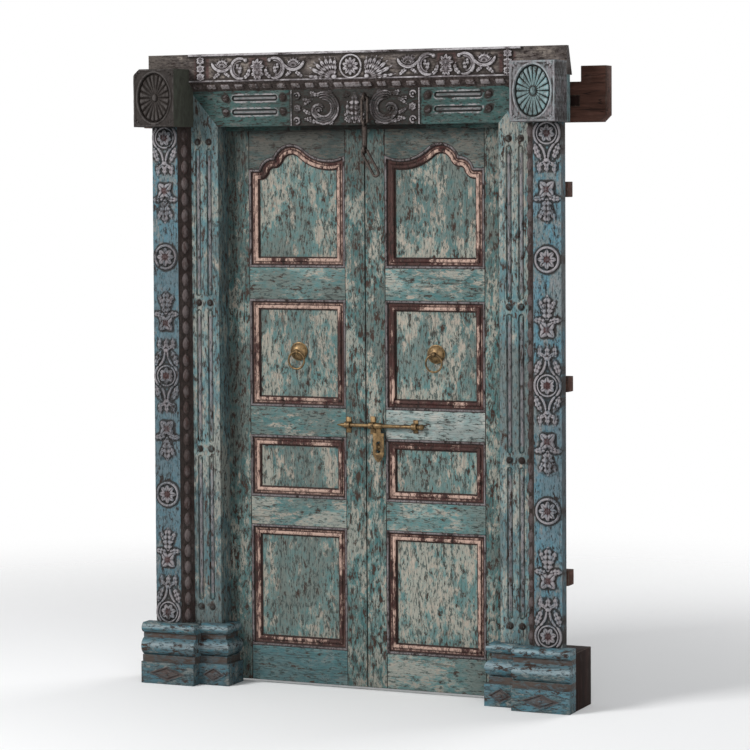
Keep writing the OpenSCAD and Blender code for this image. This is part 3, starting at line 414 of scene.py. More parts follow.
@dataclass(frozen=True)
class WoodFinish:
    """Bare old teak, dark with age, cracked along its fibres."""

    name: str
    light: RGB
    dark: RGB
    grain: Grain = Grain.UPRIGHT
    dust: RGB = (0.2, 0.17, 0.15)
    dust_share: float = 0.25
    seed: float = 0.0

    def make(self) -> bpy.types.Material:
        """Builds the material's nodes.

        Returns:
            The finished material.
        """
        s = Shade(self.name)
        shift = (self.seed, self.seed * 0.6, self.seed * 0.2)
        along = s.stretched(self.grain.value, shift)
        fibre = s.noise(380.0, 5.0, 0.62, along)
        figure = s.noise(46.0, 4.0, 0.6, along, 0.5)
        crack = (abs(s.noise(28.0, 3.0, 0.5, along, 0.2) - 0.5)).smooth(0.0, 0.012)
        dust = s.noise(22.0, 6.0, 0.65).smooth(0.52, 0.72)
        colour = s.mix(figure.smooth(0.32, 0.68), self.dark, self.light)
        colour = s.mix(fibre.smooth(0.3, 0.72) * 0.5, colour, dim(self.dark, 0.45))
        colour = s.mix(dust * self.dust_share, colour, self.dust)
        colour = s.mix(0.75 - crack * 0.75, colour, SPLIT)
        s.surface.inputs["Specular IOR Level"].default_value = WOOD_GLOSS
        s.shine(colour, 0.6 + fibre * 0.25)
        s.bump(fibre * 0.5 + crack * 0.8 + figure * 0.3, 1.2)
        return s.material


@dataclass(frozen=True)
class MetalFinish:
    """Old cast or forged metal, dark in the pits and rubbed bright on the high places."""

    name: str
    bright: RGB
    dull: RGB
    pits: RGB
    metal: float = 0.8

    def make(self) -> bpy.types.Material:
        """Builds the material's nodes.

        Returns:
            The finished material.
        """
        s = Shade(self.name)
        cloud = s.noise(70.0, 6.0, 0.65, None, 0.4)
        grit = s.noise(420.0, 4.0, 0.6)
        pits = (cloud * 0.6 + grit * 0.4).smooth(0.52, 0.66)
        colour = s.mix(cloud.smooth(0.35, 0.65), self.bright, self.dull)
        colour = s.mix(pits * 0.8, colour, self.pits)
        s.shine(colour, 0.38 + pits * 0.35 + grit * 0.12, self.metal - pits * (self.metal * 0.7))
        s.bump(grit * 0.5 + cloud, 0.5, 0.5)
        return s.material


TEAL = linear(66, 102, 102)
SEA = linear(98, 124, 121)
SKY = linear(84, 126, 140)
BEIGE = linear(166, 152, 138)
LILAC = linear(132, 125, 128)
TEAK = linear(64, 48, 41)
UMBER = linear(40, 31, 28)
MAROON = linear(70, 42, 40)
PEACH = linear(184, 156, 142)
# Brown of the plinth's fillets, darkened as painted shade in their grooves.
FILLET_BROWN_AND_SHADE = linear(74, 60, 53)

REEDS = tuple(Tint(LILAC, 0.85, (x, 8.0), run) for x in (546.3, 588.8)
              for run in ((534.0, 225.0), (1056.0, 205.0), (1580.0, 230.0)))
SIDES = (Tint(UMBER, 1.0, (761.0, 19.5), None, 1.0, last=True),)
BOSSES = tuple(Tint(UMBER, 1.0, (x, 15.0), (z, 15.0), 5.0, Shape.ROUND, True) for x in (546.3, 588.8)
               for z in (263.0, 806.0, 1306.0, 1854.0))
HEARTS = tuple(Tint(MAROON, 0.8, (694.0, 16.0), (1056.0 + way * z, 16.0), 9.0, Shape.ROUND, True)
               for z in (0.0, 180.6, 406.7, 632.7, 813.3) for way in (-1, 1))
# Plinth: pale bands along the middle of the two rolls are painted highlight; the brown bands at the fillets
# are darkened as painted shade in the grooves.
ROLL_HIGHLIGHTS_AND_GROOVE_SHADE = (Tint(linear(158, 172, 176), 0.75, None, (134.0, 15.0), 13.0),
         Tint(linear(158, 172, 176), 0.75, None, (195.0, 9.0), 7.0),
         Tint(FILLET_BROWN_AND_SHADE, 0.9, None, (85.0, 13.0), 3.0, last=True),
         Tint(FILLET_BROWN_AND_SHADE, 0.9, None, (164.5, 10.5), 3.0, last=True))
LOZENGES = tuple(Tint(linear(82, 66, 62), 0.8, (x, half), (36.9, 26.0), 6.0, Shape.RHOMB, True)
                 for x, half in ((680.5, 72.4), (524.0, 44.8)))
RAIL_TINTS = (Tint(linear(160, 164, 160), 0.6, (260.0, 290.0), (902.8, 60.0), 8.0, side=1),
              Tint(linear(52, 102, 112), 0.6, (260.0, 290.0), (70.0, 70.0), 8.0, side=-1))
BLOCK_TINTS = (Tint(linear(76, 79, 70), 1.0, (604.0, 2.0), None, 1.0, last=True),)
LINTEL_TINTS = (Tint(UMBER, 1.0, (0.0, 232.0)),) + tuple(
    tint for z in (1953.0, 1999.8) for tint in (
        Tint(UMBER, 1.0, (263.7, 15.0), (z, 15.0), 5.0, Shape.ROUND, True),
        Tint(UMBER, 1.0, (478.7, 15.0), (z, 15.0), 5.0, Shape.ROUND, True),
        Tint(linear(96, 94, 95), 0.6, (371.0, 84.0), (z, 8.0), 4.0, last=True)))
FRIEZE_TINTS = (Tint(MAROON, 0.9, (343.0, 40.0), None, 12.0), Tint(MAROON, 0.9, (555.0, 34.0), None, 12.0))

FINISHES: Dict[str, Any] = {made.name: made for made in (
    PaintFinish("stile_paint", TEAL, SEA, BEIGE, TEAK, under=0.28, flecks=0.24, bare=0.19, dusk=0.6),
    PaintFinish("rail_paint", linear(82, 120, 120), linear(114, 138, 135), BEIGE, TEAK, under=0.3,
                flecks=0.16, bare=0.06, grain=Grain.LEVEL, tints=RAIL_TINTS, dusk=1.0, seed=3.1),
    PaintFinish("panel_paint", linear(84, 116, 115), linear(116, 134, 128), BEIGE, TEAK, under=0.4,
                flecks=0.22, bare=0.08, seed=5.7),
    PaintFinish("pilaster_paint", SKY, linear(84, 108, 112), linear(134, 132, 130), UMBER, under=0.32,
                flecks=0.18, bare=0.1, damp=0.9, carved=True, motif=LILAC, crest=linear(168, 163, 165),
                crest_share=0.55, tints=HEARTS + SIDES, seed=7.3),
    PaintFinish("band_paint", linear(86, 120, 126), linear(110, 134, 134), BEIGE, TEAK, under=0.22,
                flecks=0.2, bare=0.14, tints=REEDS + BOSSES + SIDES, deep=103.0, dusk=0.2, seed=9.9),
    PaintFinish("lintel_paint", linear(50, 84, 81), linear(66, 94, 91), linear(98, 94, 90), UMBER,
                under=0.14, flecks=0.18, bare=0.14, grain=Grain.LEVEL, carved=True,
                motif=linear(82, 75, 76), crest=linear(164, 158, 160), crest_share=0.8, tints=LINTEL_TINTS,
                deep=103.0, seed=2.2),
    PaintFinish("frieze_paint", linear(62, 55, 53), linear(88, 80, 76), linear(150, 140, 130), UMBER,
                under=0.16, flecks=0.14, bare=0.12, grain=Grain.LEVEL, carved=True,
                motif=linear(116, 110, 113), crest=linear(188, 184, 186), crest_share=0.8,
                tints=FRIEZE_TINTS, deep=3.0, seed=4.4),
    PaintFinish("block_paint", linear(122, 152, 154), linear(102, 134, 138), linear(150, 158, 157), TEAK,
                under=0.2, flecks=0.12, bare=0.05, carved=True, motif=LILAC, crest=linear(170, 180, 182),
                crest_share=0.5, seed=1.9),
    PaintFinish("block_bare", linear(42, 37, 35), linear(56, 51, 48), linear(70, 65, 63), UMBER,
                under=0.15, carved=True, crest=linear(84, 80, 78), crest_share=0.6, tints=BLOCK_TINTS,
                seed=6.6),
    PaintFinish("plinth_paint", linear(80, 126, 140), linear(66, 100, 106), linear(150, 148, 142), TEAK,
                under=0.22, flecks=0.24, bare=0.16, grain=Grain.LEVEL, dirt=0.45, tints=ROLL_HIGHLIGHTS_AND_GROOVE_SHADE + LOZENGES,
                deep=103.0, seed=8.8),
    PaintFinish("bead_paint", linear(58, 40, 37), linear(62, 52, 49), linear(88, 81, 79), UMBER, under=0.2,
                carved=True, crest=linear(98, 90, 90), crest_share=0.6, seed=3.6),
    PaintFinish("course_paint", linear(70, 56, 53), linear(80, 70, 67), linear(112, 106, 104), UMBER,
                under=0.2, carved=True, crest=linear(140, 134, 135), crest_share=0.75, seed=3.6),
    PaintFinish("mould_paint", MAROON, linear(56, 38, 36), linear(104, 82, 75), UMBER, under=0.16,
                flecks=0.2, bare=0.12, carved=True, motif=linear(122, 117, 118), crest=PEACH,
                crest_share=0.95, crest_cover=0.5, seed=5.1),
    WoodFinish("dark_teak", linear(46, 31, 27), linear(29, 20, 18), dust_share=0.06),
    WoodFinish("beam_teak", linear(94, 66, 57), linear(68, 47, 40), Grain.LEVEL, dust_share=0.08,
               seed=2.0),
    WoodFinish("worn_edge", linear(88, 76, 68), linear(52, 42, 37), seed=4.0),
    # Dark eased edges of the leaves' stiles and rails: painted shade in the joints between the boards.
    WoodFinish("joint_shade_line", linear(46, 39, 36), linear(30, 25, 23), seed=6.0),
    MetalFinish("brass", linear(122, 100, 70), linear(84, 69, 50), linear(42, 35, 29), 0.75),
    MetalFinish("iron", linear(74, 66, 61), linear(52, 46, 43), linear(44, 32, 26), 0.55),
)}
READY: Dict[str, bpy.types.Material] = {}


def finish(name: str) -> bpy.types.Material:
    """The material of that name, made on its first use."""
    if name not in READY:
        READY[name] = FINISHES[name].make()
    return READY[name]


class Bench:
    """Blender operators that every piece is made with."""

    @staticmethod
    def clear() -> None:
        """Leaves object mode with nothing selected."""
        if bpy.context.object and bpy.context.object.mode != "OBJECT":
            bpy.ops.object.mode_set(mode="OBJECT")
        bpy.ops.object.select_all(action="DESELECT")

    @staticmethod
    def take(piece: bpy.types.Object) -> None:
        """Selects one piece alone and makes it active."""
        Bench.clear()
        piece.select_set(True)
        bpy.context.view_layer.objects.active = piece

    @staticmethod
    @contextmanager
    def whole(piece: bpy.types.Object) -> Iterator[None]:
        """Edit mode, with the whole of a mesh selected at first."""
        Bench.take(piece)
        bpy.ops.object.mode_set(mode="EDIT")
        bpy.ops.mesh.select_all(action="SELECT")
        yield
        bpy.ops.object.mode_set(mode="OBJECT")

    @staticmethod
    def settle(piece: bpy.types.Object, name: str) -> bpy.types.Object:
        """Applies a piece's place to its mesh and names it."""
        Bench.take(piece)
        bpy.ops.object.transform_apply(location=True, rotation=True, scale=True)
        piece.name = name
        piece.data.name = name
        return piece

    @staticmethod
    def modify(piece: bpy.types.Object, kind: str, **settings: Any) -> None:
        """Adds a modifier and applies it."""
        Bench.take(piece)
        mod = piece.modifiers.new(kind.lower(), kind)
        for key, value in settings.items():
            setattr(mod, key, value)
        bpy.ops.object.modifier_apply(modifier=mod.name)

    @staticmethod
    def join(pieces: List[bpy.types.Object], name: str) -> bpy.types.Object:
        """Joins pieces into the first one."""
        Bench.clear()
        for piece in pieces:
            piece.select_set(True)
        bpy.context.view_layer.objects.active = pieces[0]
        bpy.ops.object.join()
        return Bench.settle(pieces[0], name)

    @staticmethod
    def block(low: Sequence[float], high: Sequence[float], name: str) -> bpy.types.Object:
        """A squared block between two corners, neither crest nor hollow."""
        Bench.clear()
        bpy.ops.mesh.primitive_cube_add(size=1.0, location=[(p + q) / 2 for p, q in zip(low, high)])
        piece = bpy.context.object
        piece.scale = [q - p for p, q in zip(low, high)]
        Bench.settle(piece, name)
        Bench.number(piece, "carving", np.full(8, 0.5))
        return piece

    @staticmethod
    def smooth(piece: bpy.types.Object, degrees: float = 40.0) -> None:
        """Smooth shading over shallow angles."""
        Bench.take(piece)
        bpy.ops.object.shade_smooth_by_angle(angle=math.radians(degrees))

    @staticmethod
    def outward(piece: bpy.types.Object) -> None:
        """Merges doubles and turns the faces outwards."""
        with Bench.whole(piece):
            bpy.ops.mesh.remove_doubles(threshold=1e-6)
            bpy.ops.mesh.normals_make_consistent(inside=False)

    @staticmethod
    def dress(piece: bpy.types.Object, *names: str) -> None:
        """Gives a piece its finishes, in the order of its slots."""
        piece.data.materials.clear()
        for name in names:
            piece.data.materials.append(finish(name))

    @staticmethod
    def hand_over(piece: bpy.types.Object, paint: str, body: str, node: str, slot: str) -> bpy.types.Object:
        """Dresses a piece, which then rides a body and takes a CAD node's place."""
        Bench.dress(piece, paint)
        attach(piece, body)
        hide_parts(node)
        return piece

    @staticmethod
    def number(piece: bpy.types.Object, name: str, values: np.ndarray) -> None:
        """Keeps a number on every point of a mesh."""
        layer = piece.data.attributes.new(name, "FLOAT", "POINT")
        layer.data.foreach_set("value", np.ascontiguousarray(values, dtype=np.float32).ravel())

    @staticmethod
    def points(piece: bpy.types.Object) -> np.ndarray:
        """The mesh's points as rows of x, y, z."""
        out = np.empty(len(piece.data.vertices) * 3, dtype=np.float32)
        piece.data.vertices.foreach_get("co", out)
        return out.reshape(-1, 3)

    @staticmethod
    def put(piece: bpy.types.Object, points: np.ndarray) -> None:
        """Moves the mesh's points."""
        piece.data.vertices.foreach_set("co", np.ascontiguousarray(points, dtype=np.float32).ravel())
        piece.data.update()


def softened(node: str, names: Sequence[str], bevel_mm: float = 1.6, body: str = "frame",
             degrees: float = 35.0) -> bpy.types.Object:
    """Copies a CAD node, eases its edges and dresses it.

    Args:
        node: name of the CAD node.
        names: finish of the faces, then of the eased edges.
        bevel_mm: width of an eased edge.
        body: body that carries the piece.
        degrees: sharpest angle that is shaded smooth.

    Returns:
        The piece that replaces the node.
    """
    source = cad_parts[node]
    piece = bpy.data.objects.new(node + "_finished", source.data.copy())
    bpy.context.scene.collection.objects.link(piece)
    with Bench.whole(piece):
        bpy.ops.mesh.remove_doubles(threshold=2e-6)
        bpy.ops.mesh.dissolve_limited(angle_limit=math.radians(1.0))
    Bench.dress(piece, *names)
    piece.data.polygons.foreach_set("material_index", np.zeros(len(piece.data.polygons), dtype=np.int32))
    if bevel_mm > 0:
        Bench.modify(piece, "BEVEL", width=bevel_mm * MM, segments=2, limit_method="ANGLE",
                     angle_limit=math.radians(50), material=len(names) - 1, use_clamp_overlap=True)
    Bench.smooth(piece, degrees)
    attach(piece, body)
    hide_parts(node)
    return piece


class Carving:
    """Height of a carved face over a grid, in millimetres across, up and out of the face."""

    def __init__(self, width: Point, height: Point, step: float, columns: int = 0) -> None:
        """Lays out the grid.

        Args:
            width: lowest and highest place across.
            height: lowest and highest place up.
            step: spacing of the grid.
            columns: cells across, where the spacing doesn't give them.
        """
        self.columns = columns or int(round((width[1] - width[0]) / step))
        self.rows = int(round((height[1] - height[0]) / step))
        self.u, self.v = np.meshgrid(np.linspace(*width, self.columns + 1),
                                     np.linspace(*height, self.rows + 1))
        self.h = np.zeros_like(self.u)
        self.coat: Optional[np.ndarray] = None
        self.step = step

    def raise_to(self, height: np.ndarray, where: np.ndarray) -> None:
        """Keeps the higher of the face and a new form, where the form is."""
        self.h = np.where(where, np.maximum(self.h, height), self.h)

    def leaf(self, foot: Point, angle: float, length: float, width: float, high: float = 8.0,
             bend: float = 0.0, lobes: int = 0) -> None:
        """A pointed leaf with a sunk rib.

        Args:
            foot: where it starts.
            angle: direction in degrees from the across axis.
            length: along its rib.
            width: at its widest.
            high: height of its crown.
            bend: degrees that the rib turns to its left.
            lobes: notches along each edge.
        """
        a = math.radians(angle)
        du, dv = self.u - foot[0], self.v - foot[1]
        s = du * math.cos(a) + dv * math.sin(a)
        d = -du * math.sin(a) + dv * math.cos(a)
        if abs(bend) > 1.0:
            radius = length / math.radians(abs(bend))
            side = 1.0 if bend > 0 else -1.0
            turn = np.arctan2(s, radius - side * d)
            d = side * (radius - np.hypot(s, radius - side * d))
            s = turn * radius
        t = np.clip(s / length, 0.0, 1.0)
        half = 0.5 * width * np.sin(np.pi * t ** 0.8) ** 0.75
        if lobes:
            half = half * (1.0 - 0.3 * np.abs(np.sin(np.pi * lobes * t)) ** 3)
        half = np.where((s > 0) & (s < length), half, 0.0)
        q = np.clip(1.0 - (d / np.maximum(half, 1e-3)) ** 2, 0.0, 1.0)
        form = high * (0.25 + 0.75 * q ** 0.5) * (0.6 + 0.4 * np.sin(np.pi * np.clip(t * 0.9 + 0.08, 0, 1)))
        form -= 0.4 * high * np.exp(-(d / (0.06 * width + 0.7)) ** 2)
        if lobes:
            form -= 0.3 * high * np.abs(np.sin(np.pi * lobes * t + np.abs(d) / width * 2.4)) ** 6
        self.raise_to(form, (half > 0.05) & (q > 0))

    def stem(self, centre: Point, radius: float, start: float, end: float, half: float = 4.0,
             high: float = 6.0) -> None:
        """A round stem along an arc, tapering to its ends."""
        du, dv = self.u - centre[0], self.v - centre[1]
        turn = (np.degrees(np.arctan2(dv, du)) - start) % 360.0
        t = turn / (end - start)
        w = half * np.clip(np.minimum(t, 1.0 - t) * 7.0, 0.0, 1.0) ** 0.4
        d = np.hypot(du, dv) - radius
        q = np.clip(1.0 - (d / np.maximum(w, 1e-3)) ** 2, 0.0, 1.0)
        groove = 0.3 * high * np.exp(-(d / 0.9) ** 2)
        self.raise_to(high * (0.2 + 0.8 * q ** 0.5) - groove, (t <= 1.0) & (q > 0))

    def dome(self, centre: Point, half: Point, high: float, ribs: int = 0) -> None:
        """A rounded boss, plain or ribbed."""
        du, dv = (self.u - centre[0]) / half[0], (self.v - centre[1]) / half[1]
        q = np.clip(1.0 - du ** 2 - dv ** 2, 0.0, 1.0)
        form = high * (0.2 + 0.8 * q ** 0.5)
        if ribs:
            form -= 0.3 * high * np.abs(np.sin(np.arctan2(dv, du) * ribs / 2.0)) ** 6
        self.raise_to(form, q > 0)

    def band(self, centre: Point, half: Point, width: float, high: float) -> None:
        """A rounded oval ring."""
        du, dv = self.u - centre[0], self.v - centre[1]
        r = np.hypot(du / half[0], dv / half[1])
        d = (r - 1.0) * np.hypot(du, dv) / np.maximum(r, 1e-6)
        q = np.clip(1.0 - (d / width) ** 2, 0.0, 1.0)
        self.raise_to(high * (0.2 + 0.8 * q ** 0.5), q > 0)

    def flower(self, centre: Point, radius: float, petals: int, high: float = 8.0, core: Point = (0.27, 0.27),
               turn: float = 90.0) -> None:
        """A ring of ribbed petals about a domed heart."""
        for i in range(petals):
            angle = turn + 360.0 * i / petals
            a = math.radians(angle)
            foot = (centre[0] + 0.2 * radius * math.cos(a), centre[1] + 0.2 * radius * math.sin(a))
            self.leaf(foot, angle, 0.8 * radius, 4.4 * radius / petals, high)
        self.dome(centre, (core[0] * radius, core[1] * radius), high * 1.05, 10)

    def mirrored(self, upright: bool = False) -> None:
        """Copies the right half on to the left, and the upper half on to the lower where asked."""
        self.h = np.where(self.u < 0, self.h[:, ::-1], self.h)
        if upright:
            self.h = np.where(self.v < (self.v.min() + self.v.max()) / 2, self.h[::-1], self.h)

    def level(self, spread: float = 9.0) -> np.ndarray:
        """How far each place stands above (over 0.5) or below its neighbourhood."""
        k = max(1, int(round(spread / self.step)))
        blur = self.h
        for axis in (0, 1):
            pad = [(k, k) if i == axis else (0, 0) for i in (0, 1)]
            total = np.cumsum(np.pad(blur, pad, mode="edge"), axis=axis)
            total = np.insert(total, 0, 0.0, axis=axis)
            n = blur.shape[axis]
            upper = np.take(total, np.arange(2 * k + 1, 2 * k + 1 + n), axis=axis)
            lower = np.take(total, np.arange(0, n), axis=axis)
            blur = (upper - lower) / (2 * k + 1)
        return np.clip(0.5 + (self.h - blur) / 9.0, 0.0, 1.0)

    def weathered(self, amount: float, seed: int) -> None:
        """Rubs the tool marks of a gouge and the wear of years into the face."""
        rng = np.random.default_rng(seed)
        for size, share in ((26.0, 0.5), (9.0, 0.35), (3.5, 0.2)):
            n_u = max(2, int((self.u.max() - self.u.min()) / size))
            n_v = max(2, int((self.v.max() - self.v.min()) / size))
            knots = rng.normal(0.0, 1.0, (n_v + 2, n_u + 2))
            gu = (self.u - self.u.min()) / (self.u.max() - self.u.min()) * n_u
            gv = (self.v - self.v.min()) / (self.v.max() - self.v.min()) * n_v
            iu, iv = np.minimum(gu.astype(int), n_u), np.minimum(gv.astype(int), n_v)
            fu, fv = gu - iu, gv - iv
            low = knots[iv, iu] * (1 - fu) + knots[iv, iu + 1] * fu
            top = knots[iv + 1, iu] * (1 - fu) + knots[iv + 1, iu + 1] * fu
            self.h = self.h + amount * share * (low * (1 - fv) + top * fv)

    def board(self, name: str, origin: Place, back: Point) -> bpy.types.Object:
        """Makes the carved face a closed board.

        Args:
            name: name of the piece.
            origin: where the grid's zero lies, in millimetres from the frieze face.
            back: depth of the board's back at its foot and at its top.

        Returns:
            The board.
        """
        Bench.clear()
        bpy.ops.mesh.primitive_grid_add(x_subdivisions=self.columns, y_subdivisions=self.rows, size=1.0)
        piece = bpy.context.object
        grid = Bench.points(piece)
        column = np.rint((grid[:, 0] + 0.5) * self.columns).astype(int)
        row = np.rint((grid[:, 1] + 0.5) * self.rows).astype(int)
        face = np.stack(at(origin[0] + self.u, origin[1] - self.h, origin[2] + self.v), -1)
        Bench.put(piece, face[row, column])
        coat = np.clip(self.h / 2.5, 0.0, 1.0) if self.coat is None else self.coat
        Bench.number(piece, "carving", self.level()[row, column])
        Bench.number(piece, "motif", coat[row, column])
        with Bench.whole(piece):
            bpy.ops.mesh.region_to_loop()
            bpy.ops.mesh.extrude_edges_move()
        rim = np.empty(len(piece.data.vertices), dtype=bool)
        piece.data.vertices.foreach_get("select", rim)
        points = Bench.points(piece)
        z = points[rim, 2]
        share = (z - z.min()) / (z.max() - z.min())
        points[rim, 1] = (FACE_Y + back[0] + (back[1] - back[0]) * share) * MM
        Bench.put(piece, points)
        with Bench.whole(piece):
            bpy.ops.mesh.fill_holes(sides=0)
        Bench.outward(piece)
        Bench.settle(piece, name)
        Bench.smooth(piece, 50.0)
        return piece


@dataclass
class Frieze:
    """Carved beam over the whole width, with a lip along its top."""

    tall: float = 94.0
    lip: float = 8.5
    back: Point = (50.0, 18.0)
    curl_r: float = 33.8
    rose_x: float = 343.0

    def curl(self, c: Carving, x: float, y: float, way: int) -> None:
        """A C-shaped curl full of leaves, and the cup of leaves behind it.

        Args:
            c: face to carve.
            x: middle of the curl.
            y: middle of the field.
            way: 1 where it opens to the right, -1 to the left.
        """
        r = self.curl_r

        def turned(angle: float) -> float:
            """The angle, or its mirror image."""
            return angle if way > 0 else 180.0 - angle
        start, end = (55.0, 292.0) if way > 0 else (-112.0, 125.0)
        c.stem((x, y), r, start, end, 5.6, 7.5)
        c.stem((x, y), 0.74 * r, start + 22.0, end - 22.0, 3.2, 6.0)
        c.leaf((x + way * 0.25 * r, y - 0.97 * r), turned(8.0), 52.0, 17.0, 8.0, way * 105.0, 4)
        c.leaf((x - way * 0.2 * r, y - 0.62 * r), turned(62.0), 36.0, 15.0, 8.0, way * 35.0, 3)
        c.leaf((x - way * 0.3 * r, y - 0.2 * r), turned(98.0), 30.0, 13.0, 7.5, way * -25.0, 3)
        c.dome((x + way * 0.57 * r, y + 0.82 * r), (7.0, 7.0), 7.0)
        hx = x - way * 2.05 * r
        low, high = (197.0, 330.0) if way > 0 else (210.0, 343.0)
        c.stem((hx, y + r), 1.2 * r, low, high, 6.2, 7.2)
        c.stem((hx, y + r), 0.9 * r, low + 14.0, high - 14.0, 3.2, 6.0)
        for angle in (142.0, 116.0, 90.0, 64.0, 38.0):
            c.leaf((hx, y + 6.0), turned(angle), 31.0, 13.0, 7.5, 0.0, 3)
        c.leaf((hx - way * 4.0, y - 11.0), turned(206.0), 42.0, 16.0, 7.0, way * 28.0, 4)
        c.leaf((hx + way * 4.0, y - 11.0), turned(338.0), 34.0, 14.0, 7.0, way * -28.0, 4)

    def build(self) -> bpy.types.Object:
        """Carves the beam.

        Returns:
            The finished piece.
        """
        c = Carving((-SIZE.x_face, SIZE.x_face), (0.0, self.tall), 1.5)
        mid = (self.tall - self.lip) / 2.0
        c.flower((0.0, mid), 32.0, 10, 8.5)
        c.band((0.0, mid), (38.0, 38.0), 3.4, 5.5)
        for angle, length, bend in ((100.0, 68.0, -14.0), (82.0, 74.0, -8.0), (64.0, 80.0, 0.0),
                                    (46.0, 86.0, 8.0), (29.0, 92.0, 14.0), (12.0, 98.0, 20.0)):
            c.leaf((62.0, 7.0), angle, length, 19.0, 8.5, bend, 4)
        c.leaf((70.0, 5.0), 0.0, 96.0, 15.0, 8.0, 12.0, 5)
        c.dome((60.0, 9.0), (10.0, 9.0), 8.5)
        for way in (-1, 1):
            self.curl(c, self.rose_x + way * 1.9 * self.curl_r, mid, -way)
        c.flower((self.rose_x, mid - 16.0), 25.0, 7, 7.0, (0.4, 0.4))
        c.flower((self.rose_x, mid + 6.0), 27.0, 8, 8.5, (0.5, 0.5))
        for y in (mid - 26.0, mid + 2.0, mid + 30.0):
            c.flower((558.0, y), 17.0, 6, 7.5, (0.4, 0.4))
        c.mirrored()
        inside = np.abs(c.u) < SIZE.x_block
        c.h *= inside
        c.raise_to(8.0 * np.clip((c.v - self.tall + self.lip) / 1.5, 0.0, 1.0), inside)
        c.raise_to(4.0 * np.clip((6.0 - c.v) / 1.5, 0.0, 1.0), inside)
        c.weathered(0.55, 11)
        c.h = np.clip(c.h, -1.0, 9.6)
        piece = c.board("frieze_carved", (0.0, 0.0, SIZE.z_frieze), self.back)
        return Bench.hand_over(piece, "frieze_paint", "frame", "frieze", "bare_carving")


@dataclass
class Pilaster:
    """Tall carved strip beside the doorway."""

    wide: float = 96.0
    tall: float = 1698.0
    period: float = 813.3
    ring_r: float = 43.7
    ring_bend: float = 50.0
    stem_gap: float = 5.0

    def lattice(self, c: Carving, y: float, end: int) -> None:
        """A flower in a ring, and the right-hand stem that runs from it.

        Args:
            c: face to carve.
            y: height of the flower.
            end: 1 where the stem runs up, -1 down.
        """
        r, bend = self.ring_r, self.ring_bend
        turn_r = (r * math.cos(math.radians(bend)) - self.stem_gap) / (1 - math.cos(math.radians(bend)))
        c.flower((0.0, y), 30.0, 7, 8.5, (0.34, 0.34))
        c.band((0.0, y), (34.0, 34.0), 3.0, 5.5)
        cx, cy = (r + turn_r) * math.cos(math.radians(bend)), (r + turn_r) * math.sin(math.radians(bend))
        c.stem((0.0, y), r, -bend, bend, 4.4, 6.5)
        low = 180.0 if end > 0 else 180.0 - bend
        c.stem((cx, y + end * cy), turn_r, low, low + bend, 4.4, 6.5)
        c.leaf((41.0, y + end * 34.0), end * 104.0, 58.0, 23.0, 8.0, end * 18.0, 4)
        c.leaf((29.0, y + end * 92.0), end * 108.0, 40.0, 18.0, 7.0, end * -30.0, 3)
        top = y + end * (cy + 4.0)
        c.dome((0.0, top), (11.0, 7.5), 8.0)
        c.leaf((0.0, top + end * 4.0), end * 90.0, 38.0, 20.0, 8.0, 0.0, 3)
        c.leaf((0.0, top + end * 2.0), end * 38.0, 34.0, 16.0, 7.0, -24.0 * end, 3)

    def medallion(self, c: Carving, y: float) -> None:
        """Flower in a ring, with a fleur and a square flower above and below."""
        c.flower((0.0, y), 34.0, 8, 8.5)
        c.band((0.0, y), (39.0, 39.0), 4.2, 6.5)
        for end in (-1, 1):
            foot = y + end * 205.0
            c.leaf((0.0, foot - end * 8.0), -end * 90.0, 84.0, 42.0, 9.0, 0.0, 5)
            c.leaf((4.0, foot), -end * 30.0, 48.0, 23.0, 8.0, end * 40.0, 4)
            c.leaf((8.0, foot - end * 42.0), -end * 50.0, 42.0, 18.0, 7.0, end * -24.0, 3)
            flower_y = y + end * 226.0
            for angle in (45.0, 135.0, 225.0, 315.0):
                c.leaf((0.0, flower_y), angle, 34.0, 27.0, 9.5)
            c.dome((0.0, flower_y), (10.0, 10.0), 9.5, 8)

    def build(self, side: Side) -> bpy.types.Object:
        """Carves one pilaster.

        Args:
            side: left or right of the doorway.

        Returns:
            The finished piece.
        """
        c = Carving((-self.wide / 2, self.wide / 2), (0.0, self.tall), 1.6)
        mid = self.tall / 2.0
        self.lattice(c, mid, 1)
        self.lattice(c, mid + self.period, -1)
        self.medallion(c, mid + self.period / 2)
        c.mirrored(True)
        c.h *= np.clip((self.wide / 2 - np.abs(c.u)) / 1.5, 0.0, 1.0)
        c.weathered(0.6, 21 + side.value)
        c.h = np.clip(c.h, -1.0, 9.8)
        origin = (side.value * (SIZE.x_bead + self.wide / 2), -SIZE.pilaster_proud, SIZE.plinth)
        piece = c.board("pilaster_carved_" + side.word, origin, (SIZE.band_set, SIZE.band_set))
        return Bench.hand_over(piece, "pilaster_paint", "frame", "pilaster_" + side.word, "pale_paint")


